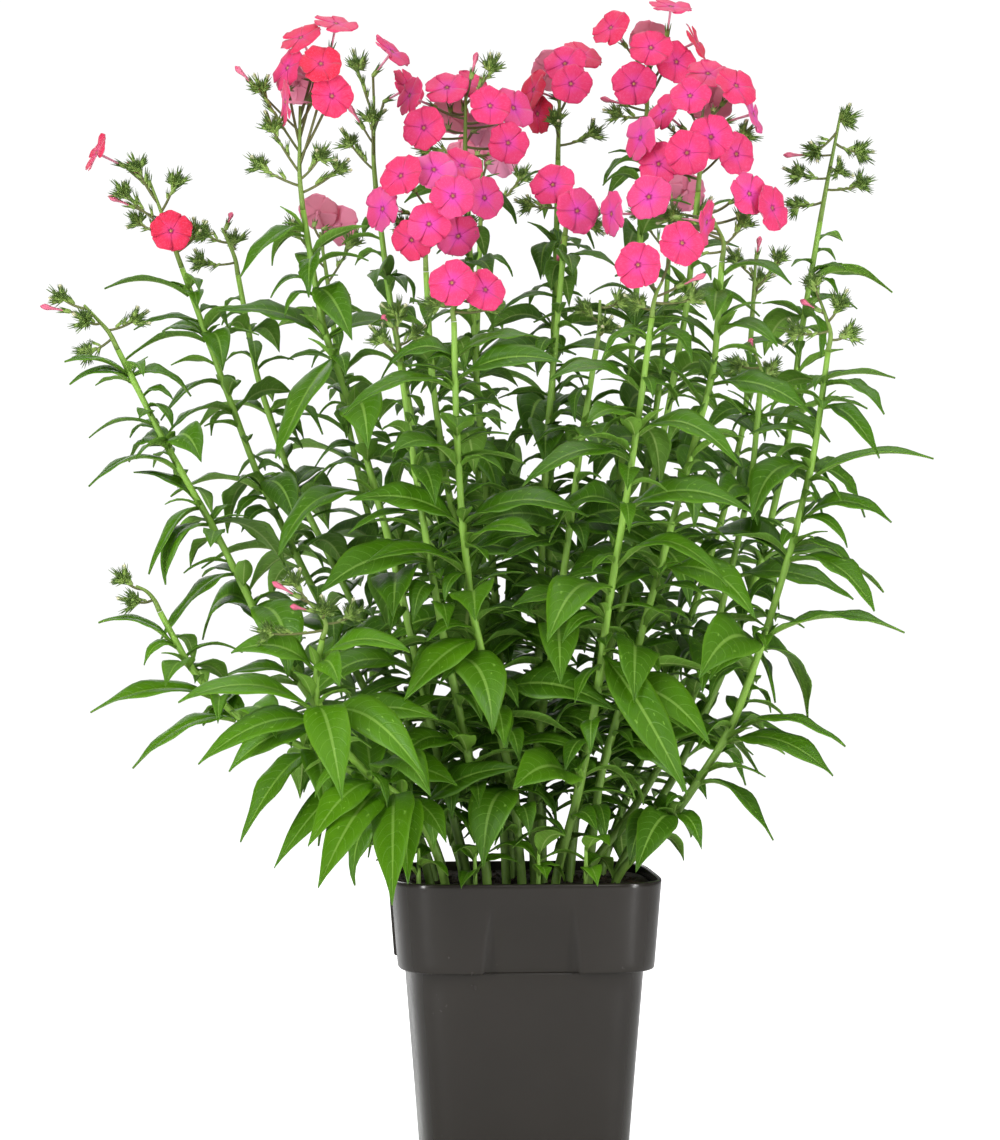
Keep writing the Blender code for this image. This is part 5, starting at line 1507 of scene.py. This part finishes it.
def petal_look():
    """Coral red to lilac petals, more violet towards the eye, with fine veins, pale backs and
    painted shade along the side edges where the petals overlap.
    """
    look, tree, shader = new_look("phlox_petal")
    w = Wires(tree)
    across, down = w.uv("where")
    hue, pale = w.uv("tone")
    back, t = w.effect("two_sides", Along=down)
    a = w.math("ABSOLUTE", w.math("SUBTRACT", across, 0.5))
    red = (0.80, 0.011, 0.055)
    pink = (0.84, 0.032, 0.165)
    violet = (0.80, 0.055, 0.500)
    lilac = (0.80, 0.250, 0.760)
    outer = w.mix(w.ramp(hue, 0.0, 0.45), red, pink)
    outer = w.mix(w.ramp(hue, 0.55, 1.0), outer, lilac)
    inner = w.mix(w.ramp(hue, 0.0, 0.9), pink, violet)
    face = w.mix(w.ramp(t, 0.10, 0.55), inner, outer)
    streak = w.cloud(7.0, 3.0, 0.6, w.join(w.math("MULTIPLY", across, 7.0),
                                           w.math("MULTIPLY", t, 0.9), hue))
    face = w.mix(w.ramp(streak, 0.45, 0.75, 0.0, 0.30), face, (0.93, 0.28, 0.56))
    eye = w.ramp(w.math("ADD", t, w.math("MULTIPLY", a, 0.25)), 0.07, 0.19, 1.0, 0.0)
    face = w.mix(w.math("MULTIPLY", eye, 0.90), face, (0.36, 0.002, 0.12))
    # painted shade: each petal's side edges are darkened near its base, where the neighbouring
    # petals overlap
    rim = w.math("MULTIPLY", w.ramp(a, 0.40, 0.50, 0.0, 0.45), w.ramp(t, 0.2, 0.7, 1.0, 0.2))
    face = w.mix(rim, face, (0.50, 0.006, 0.14))
    rear = w.mix(0.55, outer, (0.90, 0.46, 0.62))
    tube_part = w.math("GREATER_THAN", pale, 2.5)
    colour = w.mix(back, face, rear)
    w.put(w.mix(tube_part, colour, (0.80, 0.30, 0.42)), shader.inputs["Base Color"])
    w.put(w.ramp(streak, 0.3, 0.8, 0.48, 0.66), shader.inputs["Roughness"])
    w.put(w.bump(streak, 0.30, 0.0005), shader.inputs["Normal"])
    shader.inputs["Sheen Weight"].default_value = 0.15
    shader.inputs["Specular IOR Level"].default_value = 0.3
    return look


def eye_look():
    look, tree, shader = new_look("flower_eye")
    w = Wires(tree)
    grain = w.cloud(900.0, 2.0)
    w.put(w.mix(grain, (0.30, 0.004, 0.09), (0.66, 0.40, 0.10)), shader.inputs["Base Color"])
    shader.inputs["Roughness"].default_value = 0.6
    return look


def pot_look():
    """Glossy dark taupe plastic with faint moulding ripples, scuffs and dust."""
    look, tree, shader = new_look("pot_plastic")
    w = Wires(tree)
    broad = w.cloud(14.0, 2.0)
    fine = w.cloud(180.0, 3.0)
    speck = w.cells(900.0)
    colour = w.mix(broad, (0.018, 0.0155, 0.0125), (0.026, 0.022, 0.018))
    colour = w.mix(w.ramp(speck, 0.0, 0.10, 0.05, 0.0), colour, (0.16, 0.15, 0.13))
    w.put(colour, shader.inputs["Base Color"])
    rough = w.math("ADD", w.ramp(fine, 0.3, 0.8, 0.0, 0.10), w.ramp(broad, 0.3, 0.7, 0.13, 0.19))
    w.put(rough, shader.inputs["Roughness"])
    w.put(w.bump(w.math("ADD", broad, w.math("MULTIPLY", fine, 0.04)), 0.25, 0.0012),
          shader.inputs["Normal"])
    shader.inputs["Specular IOR Level"].default_value = 0.38
    return look


def soil_look():
    look, tree, shader = new_look("potting_soil")
    w = Wires(tree)
    coarse = w.cloud(170.0, 6.0, 0.7)
    grit = w.cells(420.0)
    colour = w.mix(w.ramp(coarse, 0.3, 0.7), (0.010, 0.006, 0.004), (0.060, 0.034, 0.020))
    colour = w.mix(w.ramp(grit, 0.0, 0.14, 0.35, 0.0), colour, (0.16, 0.11, 0.07))
    w.put(colour, shader.inputs["Base Color"])
    shader.inputs["Roughness"].default_value = 0.95
    w.put(w.bump(w.math("ADD", coarse, grit), 0.9, 0.002), shader.inputs["Normal"])
    return look


def make_floor():
    """Plain white floor that meets the white surroundings."""
    look, tree, shader = new_look("floor_white")
    w = Wires(tree)
    shade = w.cloud(3.0, 2.0)
    w.put(w.mix(shade, (0.86, 0.86, 0.86), (0.89, 0.89, 0.89)), shader.inputs["Base Color"])
    shader.inputs["Roughness"].default_value = 0.8
    length = tree.nodes.new("ShaderNodeVectorMath")
    length.operation = "LENGTH"
    w.put(w.place(), length.inputs[0])
    glow = w.ramp(length.outputs["Value"], 0.15, 0.60, 0.55, 1.0)
    glow = w.math("MULTIPLY", glow, tree.nodes.new("ShaderNodeLightPath").outputs["Is Camera Ray"])
    w.put((1.0, 1.0, 1.0), shader.inputs["Emission Color"])
    w.put(glow, shader.inputs["Emission Strength"])
    mesh = bpy.data.meshes.new("floor")
    work = bmesh.new()
    bmesh.ops.create_circle(work, cap_ends=True, radius=4.0, segments=64)
    work.to_mesh(mesh)
    work.free()
    mesh.materials.append(look)
    floor = bpy.data.objects.new("floor", mesh)
    bpy.context.scene.collection.objects.link(floor)


SOFT_BOXES = (
    ("key_box", (-1.5, -1.9, 1.7), 0.5, (1.3, 1.3), 27),
    ("front_box", (0.9, -2.4, 1.2), 0.5, (1.2, 1.2), 11),
    ("top_box", (0.2, 0.3, 2.2), 0.4, (1.6, 1.6), 19),
    ("back_box", (-0.6, 1.9, 1.3), 0.5, (1.4, 1.4), 12),
    ("left_strip", (-1.2, -1.1, 0.25), 0.15, (0.14, 1.3), 16),
    ("right_strip", (1.1, -0.8, 0.25), 0.15, (0.04, 1.3), 14),
)
FILL_LIGHT = 0.13
BACKDROP_LIGHT = 1.05


def soft_light(name, place, aim, size, power):
    """Flat rectangular lamp that points at the plant."""
    lamp = bpy.data.lights.new(name, "AREA")
    lamp.shape = "RECTANGLE"
    lamp.size, lamp.size_y = size
    lamp.energy = power
    thing = bpy.data.objects.new(name, lamp)
    thing.location = place
    thing.rotation_euler = (Vector(aim) - Vector(place)).to_track_quat("-Z", "Y").to_euler()
    bpy.context.scene.collection.objects.link(thing)


def make_studio():
    """White surroundings and soft boxes: the broadest from the upper left, strips at the sides."""
    world = bpy.data.worlds.new("studio")
    bpy.context.scene.world = world
    world.use_nodes = True
    tree = world.node_tree
    tree.nodes.clear()
    out = tree.nodes.new("ShaderNodeOutputWorld")
    seen = tree.nodes.new("ShaderNodeBackground")
    seen.inputs["Color"].default_value = (1, 1, 1, 1)
    seen.inputs["Strength"].default_value = BACKDROP_LIGHT
    fill = tree.nodes.new("ShaderNodeBackground")
    fill.inputs["Color"].default_value = (1, 1, 1, 1)
    fill.inputs["Strength"].default_value = FILL_LIGHT
    path = tree.nodes.new("ShaderNodeLightPath")
    both = tree.nodes.new("ShaderNodeMixShader")
    tree.links.new(path.outputs["Is Camera Ray"], both.inputs[0])
    tree.links.new(fill.outputs[0], both.inputs[1])
    tree.links.new(seen.outputs[0], both.inputs[2])
    tree.links.new(both.outputs[0], out.inputs[0])
    for name, place, aim, size, power in SOFT_BOXES:
        soft_light(name, place, (0, 0, aim), size, power)


def make_camera():
    """Level camera in front; the picture's centre is right of the pot and above the rim."""
    camera = bpy.data.cameras.new("camera")
    thing = bpy.data.objects.new("camera", camera)
    bpy.context.scene.collection.objects.link(thing)
    bpy.context.scene.camera = thing
    distance = -EYE.y
    camera.sensor_width = 36
    camera.lens = 36 * distance / (1140 * SCALE)
    thing.location = EYE
    thing.rotation_euler = (math.pi / 2, 0, 0)
    camera.clip_end = 50


def plan():
    """Where every stem, head, shoot and leaf goes, laid out as the solids were."""
    rng = random.Random(SEED)
    paths = {}
    for name, root, route, first, spacing, longest in STEMS:
        path = stem_path(root, route)
        count = len(path)
        radii = [STEM_BASE_R] + [path_radius(k, count - 2) for k in range(count - 1)]
        paths[name] = (path, radii)
    for node in ("pot", "soil"):
        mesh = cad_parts[node].data
        keep(node, ([v.co.copy() for v in mesh.vertices],
                    [tuple(f.vertices) for f in mesh.polygons], []))
    for name, (path, radii) in paths.items():
        keep("leafy_stem_" + name, tube(path, radii, STEM_SIDES))
    heads = {}
    for name, (path, radii) in paths.items():
        direction = (path[-1] - path[-2]).normalized()
        heads[name] = plan_head(name, path[-1], direction, rng)
    shoots = {}
    for name, root, height, turn in SHOOTS:
        shoots[name] = plan_shoot(name, root, height, turn, rng)
    leaf_sets = {}
    for name, (path, radii) in paths.items():
        leaf_sets[name] = place_shown_leaves(name, path, rng)
    for name, root, route, first, spacing, longest in STEMS:
        path, radii = paths[name]
        leaf_sets[name] += plan_leaves(name, path, first / 1000, spacing / 1000,
                                       longest / 1000, rng)
    return paths, heads, shoots, leaf_sets


def main():
    """Plan the plant as the solids have it, then dress each of its parts."""
    make_effects()
    looks = {
        "leaf": leaf_look(), "stem": stem_look(), "stalk": stalk_look(), "calyx": calyx_look(),
        "bud": bud_look(), "petal": petal_look(), "eye": eye_look(), "pot": pot_look(),
        "soil": soil_look(),
    }
    paths, heads, shoots, leaf_sets = plan()
    rng = random.Random(SEED + 1)
    make_fine_pot(looks)
    make_fine_soil(looks, rng)
    for name, (path, _) in paths.items():
        dress_stem(name, path, leaf_sets[name], looks, rng)
    for name, shapes in heads.items():
        dress_head(name, shapes, looks, rng)
    for name, (path, leaves) in shoots.items():
        dress_shoot(name, path, leaves, looks, rng)
    make_floor()
    make_studio()
    make_camera()
    settings = bpy.context.scene.view_settings
    settings.view_transform = "Standard"
    settings.exposure = 0.0


main()
